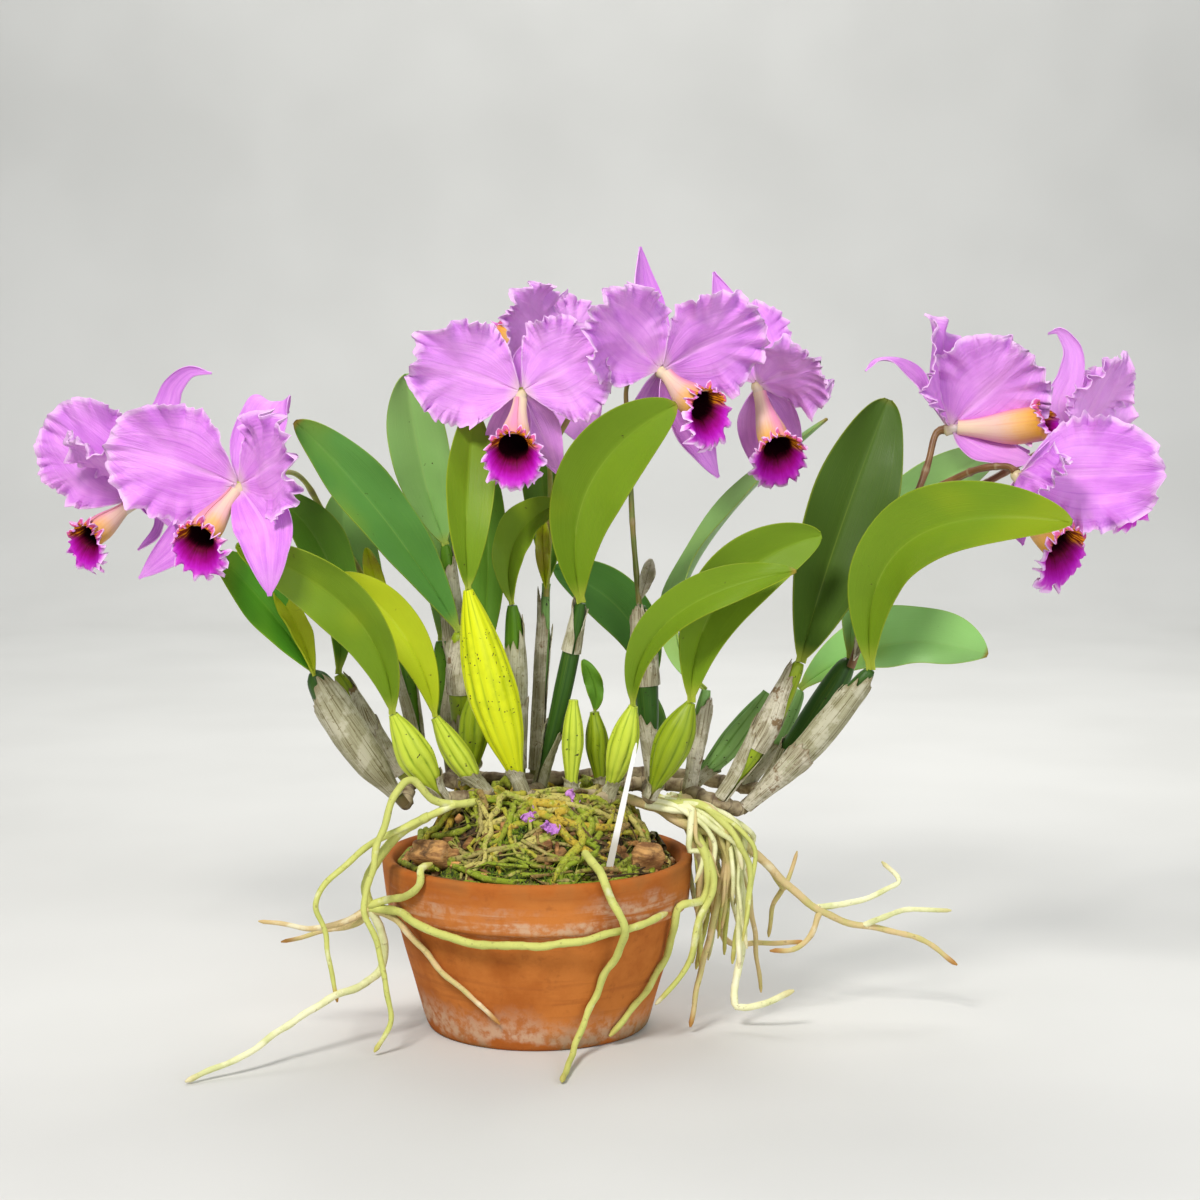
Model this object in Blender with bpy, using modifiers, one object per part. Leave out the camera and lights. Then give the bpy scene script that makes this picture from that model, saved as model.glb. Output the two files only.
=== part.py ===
"""A cattleya orchid in flower, in a terracotta bulb pan.

The plant is a tangle of creeping rhizomes that carry ribbed storage bulbs, most with one
strap leaf on top. Four flower stalks carry nine blooms, and pale air roots hang over the rim.
The foot of the pan is centred on the origin, +Z is up and -Y is the side with the best view.
Places are written in millimetres and turned into metres when a mesh is made.
"""
import math

import bmesh
import bpy
from mathutils import Matrix, Vector
from mathutils.bvhtree import BVHTree

MM = 0.001
GAP = 0.3                     # clearance kept between touching pieces
UP = Vector((0, 0, 1))
VIEW = Vector((0, -1, 0))     # the side of the plant that faces the viewer

# Pan: a nine inch terracotta bulb pan
RIM_RADIUS = 115
RIM_BAND = 38                 # height of the thick band below the rim
BAND_STEP = 4                 # how far the band stands proud of the body
FOOT_RADIUS = 82
PAN_HEIGHT = 128
WALL = 9
FLOOR = 10
TURNS = 24                    # facets round the pan
DRAIN_RADIUS = 6
DRAIN_CIRCLE = 45

# Bark and moss that fill the pan
FILL_EDGE = 118               # height of the fill at the wall
PLATEAU = 164                 # height of the mound that the rhizomes creep on
PLATEAU_RADIUS = 64

# Mat of fine roots on the mound
MAT_TOP = 170
MAT_RADIUS = 60
RHIZOME = 5
RIB_VALLEY = 0.84             # depth of the furrows on a ribbed bulb, over its radius

SEATING_STEPS = 6             # slides that bring a piece down to its gap
EDGE_STOPS = (0.1, 0.2, 0.3, 0.4, 0.5, 0.6, 0.7, 0.8, 0.9)

# Sheet thicknesses
LEAF_SHEET = 1.8
TEPAL_SHEET = 1.0
LIP_SHEET = 1.0

HUB = 6.5                     # radius of the knob where the flower parts meet
COLUMN = 2.6


def fresh_scene():
    for thing in list(bpy.data.objects):
        bpy.data.objects.remove(thing, do_unlink=True)


def new_collection(name):
    group = bpy.data.collections.new(name)
    bpy.context.scene.collection.children.link(group)
    return group


def paint(thing, colour, roughness):
    """A Principled material of the piece's own."""
    material = bpy.data.materials.new(thing.name)
    material.use_nodes = True
    shader = material.node_tree.nodes["Principled BSDF"]
    shader.inputs["Base Color"].default_value = (*colour, 1)
    shader.inputs["Roughness"].default_value = roughness
    shader.inputs["Metallic"].default_value = 0.0
    thing.data.materials.clear()
    thing.data.materials.append(material)


def new_object(name, mesh, group):
    thing = bpy.data.objects.new(name, mesh)
    group.objects.link(thing)
    return thing


def mesh_of(thing):
    """The object's mesh as evaluated."""
    bpy.context.view_layer.update()
    graph = bpy.context.evaluated_depsgraph_get()
    return bpy.data.meshes.new_from_object(thing.evaluated_get(graph))


def weld(mesh):
    """Joins a curve's loose caps to its wall and turns all faces outward."""
    shape = bmesh.new()
    shape.from_mesh(mesh)
    bmesh.ops.remove_doubles(shape, verts=shape.verts, dist=0.00001)
    bmesh.ops.recalc_face_normals(shape, faces=shape.faces)
    shape.to_mesh(mesh)
    shape.free()


def settle(thing):
    """Swaps an object for its evaluated mesh and returns the new object."""
    name, group = thing.name, thing.users_collection[0]
    mesh = mesh_of(thing)
    bpy.data.objects.remove(thing, do_unlink=True)
    return new_object(name, mesh, group)


def fuse(name, pieces, group):
    """One Boolean union of all the pieces, applied. The pieces are removed.

    The thin blades meet at grazing angles, which only the MANIFOLD solver joins cleanly."""
    rest = new_collection("pieces of " + name)
    for piece in pieces[1:]:
        piece.users_collection[0].objects.unlink(piece)
        rest.objects.link(piece)
    base = pieces[0]
    union = base.modifiers.new("union", "BOOLEAN")
    union.operation = "UNION"
    union.solver = "MANIFOLD"
    union.operand_type = "COLLECTION"
    union.collection = rest
    mesh = mesh_of(base)
    for piece in pieces:
        bpy.data.objects.remove(piece, do_unlink=True)
    bpy.data.collections.remove(rest)
    return new_object(name, mesh, group)


def smooth(thing, angle=60):
    thing.data.shade_smooth()
    thing.data.set_sharp_from_angle(angle=math.radians(angle))


def clearance(mesh, target):
    """Least distance from a corner or edge of either mesh to the other's surface, in millimetres."""
    sides = []
    for shape in (mesh, target):
        corners = [vert.co.copy() for vert in shape.vertices]
        tree = BVHTree.FromPolygons(corners, [face.vertices for face in shape.polygons])
        ends = [[corners[index] for index in edge.vertices] for edge in shape.edges]
        sides.append((corners + [a.lerp(b, t) for a, b in ends for t in EDGE_STOPS], tree))
    (own, own_tree), (other, other_tree) = sides
    least = [min(tree.find_nearest(place)[3] for place in places)
             for places, tree in ((own, other_tree), (other, own_tree))]
    return min(least) / MM


def seat(piece, target, axis):
    """Slides a clear piece back along the axis until it stands GAP off the target.

    A slide by the spare clearance never closes the gap, so the steps only come nearer."""
    for _ in range(SEATING_STEPS):
        spare = clearance(mesh_of(piece), target.data) - GAP
        piece.data.transform(Matrix.Translation(axis * -spare * MM))


def sheet(name, point, rows, columns, thickness, group):
    """A blade: a flat grid bent by point(u, v), split in triangles, then given its thickness.

    u runs 0 to 1 from base to tip and v runs -1 to 1 across."""
    shape = bmesh.new()
    bmesh.ops.create_grid(shape, x_segments=rows, y_segments=columns, size=0.5)
    for vert in shape.verts:
        vert.co = point(vert.co.x + 0.5, 2 * vert.co.y) * MM
    mesh = bpy.data.meshes.new(name)
    shape.to_mesh(mesh)
    shape.free()
    thing = new_object(name, mesh, group)
    thing.modifiers.new("split", "TRIANGULATE")
    wall = thing.modifiers.new("wall", "SOLIDIFY")
    wall.thickness = thickness * MM
    wall.offset = 0
    return thing


def ribbed_section(ribs, group):
    """A closed outline of radius 1 mm whose corners stand out as ribs."""
    curve = bpy.data.curves.new("section", "CURVE")
    spline = curve.splines.new("POLY")
    spline.points.add(2 * ribs - 1)
    for number, point in enumerate(spline.points):
        angle = math.pi * number / ribs
        radius = MM * (1 if number % 2 == 0 else RIB_VALLEY)
        point.co = (radius * math.cos(angle), radius * math.sin(angle), 0, 1)
    spline.use_cyclic_u = True
    return new_object("section", curve, group)


def tube(name, route, radii, group, sides=6, ribs=0):
    """A round or ribbed stem along the route, as a bevelled curve with filled caps."""
    curve = bpy.data.curves.new(name, "CURVE")
    curve.dimensions = "3D"
    curve.use_fill_caps = True
    section = None
    if ribs:
        section = ribbed_section(ribs, group)
        curve.bevel_mode = "OBJECT"
        curve.bevel_object = section
    else:
        curve.bevel_depth = MM
        curve.bevel_resolution = (sides - 4) // 2
    spline = curve.splines.new("POLY")
    spline.points.add(len(route) - 1)
    for point, place, radius in zip(spline.points, route, radii):
        point.co = (*(Vector(place) * MM), 1)
        point.radius = radius
    stem = settle(new_object(name, curve, group))
    weld(stem.data)
    if section:
        bpy.data.objects.remove(section, do_unlink=True)
    return stem


def knob(name, place, radius, axis, group):
    """A faceted ball with a corner on the axis, on either side."""
    bpy.ops.mesh.primitive_uv_sphere_add(segments=6, ring_count=4, radius=radius * MM)
    thing = bpy.context.active_object
    turn = axis.to_track_quat("Z", "Y").to_matrix().to_4x4()
    thing.data.transform(Matrix.Translation(Vector(place) * MM) @ turn)
    mesh = thing.data
    bpy.data.objects.remove(thing, do_unlink=True)
    return new_object(name, mesh, group)


def through(places, steps):
    """Points of a smooth Catmull-Rom curve through the places, `steps` to each stretch."""
    places = [Vector(place) for place in places]
    ends = [2 * places[0] - places[1], *places, 2 * places[-1] - places[-2]]
    points = []
    for a, b, c, d in zip(ends, ends[1:], ends[2:], ends[3:]):
        for step in range(steps):
            t = step / steps
            points.append(0.5 * (2 * b + (c - a) * t + (2 * a - 5 * b + 4 * c - d) * t ** 2
                                 + (3 * b - a - 3 * c + d) * t ** 3))
    return points + [places[-1]]


def taper(count, start, end):
    return [start + (end - start) * i / (count - 1) for i in range(count)]


def toward(azimuth, elevation):
    """Unit vector; azimuth 0 looks at the viewer and +90 looks to the right."""
    a, e = math.radians(azimuth), math.radians(elevation)
    return Vector((math.sin(a) * math.cos(e), -math.cos(a) * math.cos(e), math.sin(e)))


class Midline:
    """The curve that a leaf, sepal or petal follows: a quadratic Bezier through its middle place.

    The face looks along `face` as nearly as the curve allows."""

    def __init__(self, base, middle, tip, face):
        self.a, self.c = Vector(base), Vector(tip)
        self.b = 2 * Vector(middle) - (self.a + self.c) / 2
        self.face = Vector(face)

    def place(self, u):
        return (1 - u) ** 2 * self.a + 2 * u * (1 - u) * self.b + u ** 2 * self.c

    def frame(self, u):
        """Along the curve, across it, and out of its face."""
        along = ((1 - u) * (self.b - self.a) + u * (self.c - self.b)).normalized()
        across = along.cross(self.face).normalized()
        return along, across, across.cross(along)


def leaf_width(u):
    """Half width of a strap leaf over its greatest: narrow base, full by a third, round tip."""
    return max(math.sin(math.pi * u ** 0.8) ** 0.55 if 0 < u < 1 else 0, 0.16 * (1 - u), 0.17 * u)


def leaf_point(line, width, fold):
    """A leaf is a channel: the halves rise by the fold angle, which is steepest at the base."""
    def point(u, v):
        u = 0.5 - 0.5 * math.cos(math.pi * (0.12 + 0.88 * u)) if u < 1 else 1.0
        u = (u - FIRST_ROW) / (1 - FIRST_ROW)
        _, across, out = line.frame(u)
        half = width / 2 * leaf_width(u)
        angle = math.radians(fold * (0.45 + 0.9 * (1 - u) ** 3))
        return (line.place(u) + across * half * v * math.cos(angle)
                + out * half * abs(v) ** 1.4 * math.sin(angle))
    return point


FIRST_ROW = 0.5 - 0.5 * math.cos(math.pi * 0.12)


def petal_width(u):
    """Half width of a petal over its greatest: a claw, then broad, with a blunt round end."""
    if u < 0.6:
        s = u / 0.6
        return 0.1 + 0.9 * math.sin(math.pi / 2 * s) ** 1.15
    return max(1 - ((u - 0.6) / 0.4) ** 2.3, 0) ** 0.5 * 0.82 + 0.18 * (1 - (u - 0.6) / 0.4) + 0.12 * u


def sepal_width(u):
    """Half width of a sepal over its greatest: a narrow lance with a pointed tip."""
    return max(math.sin(math.pi * u ** 0.8) ** 0.85 if 0 < u < 1 else 0, 0.2 * (1 - u), 0.1 * u)


def petal_point(line, width, waves, phase):
    """A petal cups a little and its edge waves: the wave grows with the cube of the way out."""
    def point(u, v):
        _, across, out = line.frame(u)
        half = width / 2 * petal_width(u)
        wave = 5.5 * math.sin(2 * math.pi * waves * u + phase + (0.9 if v > 0 else 0)) * min(u * 3, 1)
        return (line.place(u) + across * half * v
                + out * (0.10 * half * v ** 2 + wave * abs(v) ** 3))
    return point


def sepal_point(line, width):
    """A sepal is a shallow keel."""
    def point(u, v):
        _, across, out = line.frame(u)
        half = width / 2 * sepal_width(u)
        return line.place(u) + across * half * v + out * 0.25 * half * v ** 2
    return point


def bowed(hub, reach, bow, face):
    """Midline from the hub to hub + reach, with its middle pushed out of its face by `bow`."""
    hub, reach, face = Vector(hub), Vector(reach), Vector(face)
    out = (face - face.project(reach)).normalized()
    return Midline(hub + reach.normalized() * 2.5, hub + reach / 2 + out * bow, hub + reach, face)


# Blooms: hub, facing azimuth and elevation, then the reach from the hub of the dorsal sepal,
# left and right petal, left and right lower sepal (as the viewer sees them) and lip mouth.
# Each reach is followed by how far its middle bows out of its face.
BLOOMS = {
    "bloom_1": dict(hub=(-298, 34, 386), face=(-55, -5), dorsal=((57, 18, 92), 15),
                    petals=(((-78, 20, 52), -4, 84), ((-21, -50, 66), -3, 78)),
                    lower=(((-12, 46, -56), -4), ((16, 24, -62), -4)), lip=(-33, -27, -27)),
    "bloom_2": dict(hub=(-206, -70, 404), face=(-35, 0), dorsal=((9, 22, 72), 10),
                    petals=(((-98, 14, 31), -5, 86), ((40, -64, 44), -4, 78)),
                    lower=(((-72, 22, -62), -5), ((26, -4, -76), -3)), lip=(-24, -33, -37)),
    "bloom_3": dict(hub=(-10, -30, 468), face=(0, -5), dorsal=((8, 12, 73), -3),
                    petals=(((-78, -26, 28), -5, 76), ((62, -9, 34), -5, 76)),
                    lower=(((-24, 26, -72), -4), ((27, 30, -62), -4)), lip=(-5, -34, -46)),
    "bloom_4": dict(hub=(11, 74, 499), face=(-130, 20), dorsal=((10, 44, 50), -3),
                    petals=(((-36, -50, 42), -3, 72), ((60, 52, 2), -3, 72)),
                    lower=(((-26, 16, -68), -4), ((16, -6, -78), -4)), lip=(-40, 42, 10)),
    "bloom_5": dict(hub=(90, -12, 483), face=(42, -5), dorsal=((-15, 15, 88), -4),
                    petals=(((-45, -54, 50), -4, 74), ((84, 11, 40), -5, 80)),
                    lower=(((-26, 30, -62), -4), ((42, 6, -78), -4)), lip=(35, -35, -31)),
    "bloom_6": dict(hub=(163, 54, 470), face=(15, -25), dorsal=((-32, 22, 80), -4),
                    petals=(((-46, 30, 42), -3, 70), ((50, -34, 0), -3, 74)),
                    lower=(((2, 16, -66), -4), ((36, 32, -56), -4)), lip=(13, -27, -50)),
    "bloom_7": dict(hub=(305, 38, 439), face=(80, 25), dorsal=((-66, 6, 42), 16),
                    petals=(((-14, -46, 76), -4, 76), ((54, 44, 68), -4, 90)),
                    lower=(((58, -34, -30), -8), ((66, 40, -20), -8)), lip=(68, -12, 8)),
    "bloom_8": dict(hub=(345, -30, 409), face=(40, -25), dorsal=((48, 22, 50), -4),
                    petals=(((15, -56, -4), -3, 54), ((101, -18, 12), -6, 86)),
                    lower=(((10, 34, -54), -4), ((50, 38, -70), -4)), lip=(28, -24, -54)),
    "bloom_9": dict(hub=(409, 86, 424), face=(110, 0), dorsal=((-32, 3, 90), 12),
                    petals=(((25, -36, 66), -4, 74), ((40, 50, 42), -4, 74)),
                    lower=(((-24, -38, -62), -3), ((-17, 48, -58), -3)), lip=(38, -12, -56)),
}
PETAL_GRID = (5, 4)
SEPAL_GRID = (4, 2)
SEPAL_WIDTH = 31
LIP_GRID = (4, 8)
LIP_TURN = 168                # how far the sheet is rolled to either side, in degrees
LIP_START = 9.5               # distance of the lip's narrow end from the hub


def bloom(name, plan, group):
    """Three sepals, two petals and the column, fused at the hub."""
    hub, face = Vector(plan["hub"]), toward(*plan["face"])
    pieces = [knob(name, hub, HUB, face, group)]
    sepals = [plan["dorsal"], *plan["lower"]]
    for number, (reach, bow) in enumerate(sepals):
        line = bowed(hub, reach, bow, face)
        pieces.append(sheet(f"sepal {number}", sepal_point(line, SEPAL_WIDTH), *SEPAL_GRID,
                            TEPAL_SHEET, group))
    for number, (reach, bow, width) in enumerate(plan["petals"]):
        line = bowed(hub, reach, bow, face)
        pieces.append(sheet(f"petal {number}", petal_point(line, width, 1.6, 2.2 * number), *PETAL_GRID,
                            TEPAL_SHEET, group))
    along = Vector(plan["lip"]).normalized()
    pieces.append(tube("column", [hub + along * 3, hub + along * 27], [COLUMN, COLUMN + 0.8], group))
    flower = fuse(name, pieces, group)
    smooth(flower)
    paint(flower, (0.62, 0.28, 0.75), 0.5)
    return flower


def lip(name, plan, flower, group):
    """The lip: a sheet rolled round the column into a trumpet, open in a slit on top.

    u runs from the hub to the frilled margin, and v turns round the tube, 0 at the bottom.
    The radius is that of the tube and then flares, and the bottom lobe runs on furthest."""
    hub, face = Vector(plan["hub"]), toward(*plan["face"])
    reach = Vector(plan["lip"])
    along = reach.normalized()
    across = along.cross(UP).normalized()
    down = along.cross(across)
    length = reach.length

    def point(u, v):
        turn = v * math.radians(LIP_TURN)
        low = 0.5 + 0.5 * math.cos(turn)
        radius = (3.9 + 8.5 * (0.5 - 0.5 * math.cos(math.pi * min(u / 0.5, 1)))
                  + 8 * max(u - 0.5, 0) / 0.5 + 3.5 * u ** 4 * low + 1.6 * u ** 3 * math.cos(4 * turn))
        away = LIP_START + (length * (0.86 + 0.34 * low) - LIP_START) * u
        bend = 4 * u ** 2 * low
        return (hub + along * away + (down * math.cos(turn) + across * math.sin(turn)) * radius
                + face * bend)
    horn = sheet(name, point, *LIP_GRID, LIP_SHEET, group)
    seat(horn, flower, along)
    smooth(horn)
    paint(horn, (0.45, 0.03, 0.36), 0.45)


# Shoots: rhizome group, foot, top, greatest radius and rib count of the bulb, then its leaf as
# bend, tip, width and the way that its face looks, or None where the leaf has dropped.
SHOOTS = {
    "1": ("left", (-97, -10, 165), (-161, -30, 266), 15, 0,
          ((-190, -40, 312), (-228, -60, 359), 40, (0.3, -0.9, 0.3))),
    "2": ("left", (-95, 20, 175.4), (-148, 20, 257), 9, 0,
          ((-157, 25, 342), (-197, 10, 395), 40, (0.3, -0.9, 0.3))),
    "3": ("left", (-66, -42, 175.4), (-101, -60, 240), 13, 5,
          ((-129, -80, 317), (-206, -110, 369), 43, (-0.1, -1, 0.1))),
    "4": ("left", (-36, -25, 175.4), (-73, -30, 233), 10, 5,
          ((-98, -30, 297), (-144, -30, 340), 34, (0.2, -1, 0.2))),
    "5": ("left", (-54, 20, 175.4), (-58, 10, 290), 11, 0,
          ((-110, 0, 377), (-172, -30, 451), 46, (0.2, -1, 0.3))),
    "6": ("left", (-51, 0, 175.4), (-43, -5, 253), 12, 5,
          ((-37, 30, 335), (-38, 42, 422), 30, (0, -1, 0.2))),
    "7": ("left", (-86, 38, 176), (-106, 55, 279), 8, 0,
          ((-142, 60, 339), (-145, 60, 399), 45, (0.3, -1, 0.2))),
    "8": ("centre", (-9, -36, 175.4), (-48, -50, 328), 18, 5,
          ((-50, -42, 391), (-47, -5, 457), 38, (0.3, -1, 0.1))),
    "9": ("centre", (-13, 10, 175.4), (-18, 0, 311), 9, 0,
          ((-16, 0, 363), (16, -15, 391), 32, (-0.2, -1, 0.4))),
    "10": ("centre", (1, 3, 175.4), (32, -10, 314), 8, 0,
           ((39, -27, 404), (101, -53, 464), 58, (0.1, -1, 0.1))),
    "11": ("centre", (25, -30, 175.4), (27, -32, 246), 8, 5, None),
    "12": ("centre", (47, -10, 175.4), (42, -10, 234), 9, 5,
           ((42, -11, 256), (33, -10, 277), 14, (0, -1, 0.2))),
    "13": ("centre", (52, -33, 175.4), (70, -40, 243), 11, 5,
           ((92, -61, 321), (184, -84, 349), 34, (-0.3, -1, 0.5))),
    "14": ("right", (82, -35, 175.4), (111, -45, 246), 14, 5,
           ((135, -46, 328), (205, -48, 371), 52, (0.1, -1, 0.2))),
    "15": ("right", (85, 20, 175.4), (76, 25, 308), 11, 0, None),
    "16": ("right", (112, 0, 174), (124, 5, 248), 7, 0,
           ((113, 48, 332), (221, 110, 447), 40, (-0.9, 0.1, 0.5))),
    "17": ("right", (113, 14, 174), (170, 20, 244), 10, 5, None),
    "18": ("right", (132, -15, 168), (191, -15, 271), 11, 0,
           ((219, -8, 361), (258, 10, 465), 65, (0.1, -1, 0.1))),
    "19": ("right", (150, -5, 160), (241, -32, 268), 13, 0,
           ((264, -62, 379), (370, -124, 387), 64, (-0.2, -1, 0.4))),
    "20": ("back", (-52, 44, 175.4), (-69, 36, 352), 9, 0,
           ((-86, 24, 416), (-96, 14, 484), 48, (0.2, -1, 0.1))),
    "21": ("back", (-68, 66, 175.4), (-75, 68, 276), 9, 0,
           ((-82, 72, 368), (-106, 90, 461), 37, (0.2, -1, 0.1))),
    "22": ("back", (-3, 38, 175.4), (6, 40, 323), 5.5, 0,
           ((5, 56, 385), (-8, 62, 455), 34, (0.1, -1, 0.1))),
    "23": ("back", (92, 60, 175.4), (84, 70, 238), 10, 5,
           ((65, 80, 298), (10, 80, 335), 45, (0.1, -1, 0.3))),
    "24": ("back", (156, 50, 167), (198, 70, 238), 10, 0,
           ((267, 75, 276), (341, 60, 270), 56, (0, -0.8, 0.6))),
    "25": ("back", (166, 32, 167), (232, 32, 267), 13, 0,
           ((265, 64, 361), (356, 108, 423), 47, (0, -1, 0.3))),
}
# The order in which each rhizome creeps from shoot to shoot
RHIZOMES = {
    "left": ("3", "4", "6", "5", "7", "2", "1"),
    "centre": ("9", "10", "8", "11", "13", "12"),
    "right": ("14", "15", "17", "16", "18", "19"),
    "back": ("21", "20", "22", "23", "24", "25"),
}
# A short piece that ties the right rhizome back to the mound, as its ends
SPUR = ((54, 14, 175.4), (85, 20, 175.4))
SAG_FROM = 30                 # a bulb that leans out further than this sags
LEAF_GRID = (5, 4)
LEAF_FOLD = 34                # slope of a leaf's halves at its greatest, in degrees
LEAF_START = 6                # a leaf is made this far off its bulb and then slid down


def bulb(name, plan, group):
    """A storage bulb: a thin stalk that swells past half height and narrows to its leaf."""
    _, foot, top, radius, ribs, _ = plan
    foot, top = Vector(foot), Vector(top)
    profile = ((0, 4.2), (0.17, 4.7), (0.45, 0.95 * radius), (0.75, 0.9 * radius),
               (1, min(5.2, radius)))
    lean = (top - foot).length * 0.05
    route = [foot.lerp(top, t) - UP * lean * math.sin(math.pi * t) * (abs(top.x - foot.x) > SAG_FROM)
             for t, _ in profile]
    return tube(name, route, [r for _, r in profile], group, ribs=ribs)


def canes(side, group):
    """One rhizome with its bulbs, fused."""
    order = RHIZOMES[side]
    feet = [SHOOTS[key][1] for key in order]
    route = through(feet, 1)
    pieces = [tube("rhizome " + side, route, [RHIZOME] * len(route), group, sides=4)]
    if side == "right":
        pieces.append(tube("spur", SPUR, [RHIZOME] * 2, group, sides=4))
    pieces += [bulb("bulb " + key, SHOOTS[key], group) for key in order]
    cane = fuse("canes_" + side, pieces, group)
    smooth(cane)
    paint(cane, (0.42, 0.45, 0.16), 0.6)
    return cane


def leaf(name, plan, carrier, group):
    """The leaf stands on the end of its bulb."""
    _, foot, top, _, _, (bend, tip, width, face) = plan
    axis = (Vector(top) - Vector(foot)).normalized()
    start = Vector(top) + axis * LEAF_START
    blade = sheet(name, leaf_point(Midline(start, bend, tip, face), width, LEAF_FOLD), *LEAF_GRID,
                  LEAF_SHEET, group)
    seat(blade, carrier, axis)
    smooth(blade)
    paint(blade, (0.2, 0.33, 0.03), 0.35)


def turned(name, profile, group):
    """A solid of revolution: the profile runs down its outer side."""
    mesh = bpy.data.meshes.new(name)
    mesh.from_pydata([(r * MM, 0, z * MM) for r, z in profile],
                     [(i, i + 1) for i in range(len(profile) - 1)], [])
    thing = new_object(name, mesh, group)
    screw = thing.modifiers.new("turn", "SCREW")
    screw.steps = TURNS
    screw.render_steps = TURNS
    screw.use_merge_vertices = True
    screw.merge_threshold = 0.00005
    return thing


def pan_radius(z):
    """Outer radius of the pan at a height."""
    band_foot = PAN_HEIGHT - RIM_BAND
    if z >= band_foot:
        return RIM_RADIUS - 3.5 * (PAN_HEIGHT - z) / RIM_BAND
    return FOOT_RADIUS + (RIM_RADIUS - 3.5 - BAND_STEP - FOOT_RADIUS) * z / band_foot


def inner_radius(z):
    """Inner radius of the pan at a height: a plain cone."""
    top, low = RIM_RADIUS - WALL, FOOT_RADIUS - WALL + 1
    return low + (top - low) * (z - FLOOR) / (PAN_HEIGHT - FLOOR)


def pan(group, cutters):
    """The terracotta pan, with four drain holes round its middle."""
    band_foot = PAN_HEIGHT - RIM_BAND
    profile = [(0, FLOOR), (inner_radius(FLOOR), FLOOR), (inner_radius(PAN_HEIGHT - 2), PAN_HEIGHT - 2),
               (RIM_RADIUS - WALL + 2, PAN_HEIGHT), (RIM_RADIUS - 2, PAN_HEIGHT),
               (RIM_RADIUS, PAN_HEIGHT - 2), (pan_radius(band_foot + 2), band_foot + 2),
               (pan_radius(band_foot) - 1.5, band_foot), (pan_radius(band_foot - 1), band_foot - 1),
               (pan_radius(2), 2), (FOOT_RADIUS - 1.5, 0), (0, 0)]
    pot = turned("pot", profile, group)
    for corner in range(4):
        angle = math.radians(45 + 90 * corner)
        bpy.ops.mesh.primitive_cylinder_add(
            vertices=8, radius=DRAIN_RADIUS * MM, depth=3 * FLOOR * MM,
            location=(DRAIN_CIRCLE * MM * math.cos(angle), DRAIN_CIRCLE * MM * math.sin(angle), 0))
        cutter = bpy.context.active_object
        cutter.name = f"drain {corner + 1}"
        cutter.users_collection[0].objects.unlink(cutter)
        cutters.objects.link(cutter)
        cutter.hide_render = True
        cutter.display_type = "WIRE"
        hole = pot.modifiers.new(cutter.name, "BOOLEAN")
        hole.operation = "DIFFERENCE"
        hole.object = cutter
    pot = settle(pot)
    smooth(pot, 35)
    paint(pot, (0.55, 0.22, 0.09), 0.85)


def fill_height(r):
    """Top of the fill at a radius: flat on the mound, then a slope that eases out to the wall."""
    edge = inner_radius(FILL_EDGE) - GAP
    t = min(max((r - PLATEAU_RADIUS) / (edge - PLATEAU_RADIUS), 0), 1)
    return FILL_EDGE + (PLATEAU - FILL_EDGE) * (1 - t) ** 1.7


STAKE_TOP = (72, -52, 218)
STAKE_LOW = (54, -72, 138)
STAKE_SIZE = (5.5, 1.2)       # width and thickness of the label stake


def stake_box(name, size, past, point, group):
    """A thin box along the stake's line, from its top to `past` its low place, as a share of its length.

    `point` is the width of its low end over that of its top."""
    top = Vector(STAKE_TOP)
    low = Vector(STAKE_LOW) - (top - Vector(STAKE_LOW)) * past
    bpy.ops.mesh.primitive_cube_add(size=1)
    thing = bpy.context.active_object
    turn = (top - low).to_track_quat("Z", "Y").to_matrix().to_4x4()
    for vert in thing.data.vertices:
        x, y, z = vert.co
        narrow = point if z < 0 else 1
        place = turn @ Vector((x * size[0] * narrow, y * size[1], z * (top - low).length))
        vert.co = (place + (top + low) / 2) * MM
    mesh = thing.data
    bpy.data.objects.remove(thing, do_unlink=True)
    return new_object(name, mesh, group)


def growing_medium(group, cutters):
    """Bark and moss: a mound that fills the pan and stands above its rim."""
    edge = inner_radius(FILL_EDGE) - GAP
    rings = [PLATEAU_RADIUS + (edge - PLATEAU_RADIUS) * t for t in (0, 0.25, 0.55, 1)]
    profile = [(0, PLATEAU), *((r, fill_height(r)) for r in rings),
               (inner_radius(FLOOR + GAP) - GAP, FLOOR + GAP), (0, FLOOR + GAP)]
    mound = turned("growing_medium", profile, group)
    slot = stake_box("stake slot", [side + 2 * GAP for side in STAKE_SIZE], 0.2, 1, cutters)
    slot.hide_render = True
    slot.display_type = "WIRE"
    hole = mound.modifiers.new("stake slot", "BOOLEAN")
    hole.operation = "DIFFERENCE"
    hole.object = slot
    mound = settle(mound)
    smooth(mound, 40)
    paint(mound, (0.16, 0.14, 0.04), 0.95)


def label_stake(group):
    stake = stake_box("label_stake", STAKE_SIZE, 0.18, 0.35, group)
    paint(stake, (0.85, 0.85, 0.82), 0.5)


BARK_SEAT = 1.3               # the mound bulges this far toward the middle of a block
BARK = {
    "bark_chunk_left": ((-74, -50), (31, 15, 19), 12),
    "bark_chunk_right": ((80, -46), (22, 14, 19), -20),
}


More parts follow.
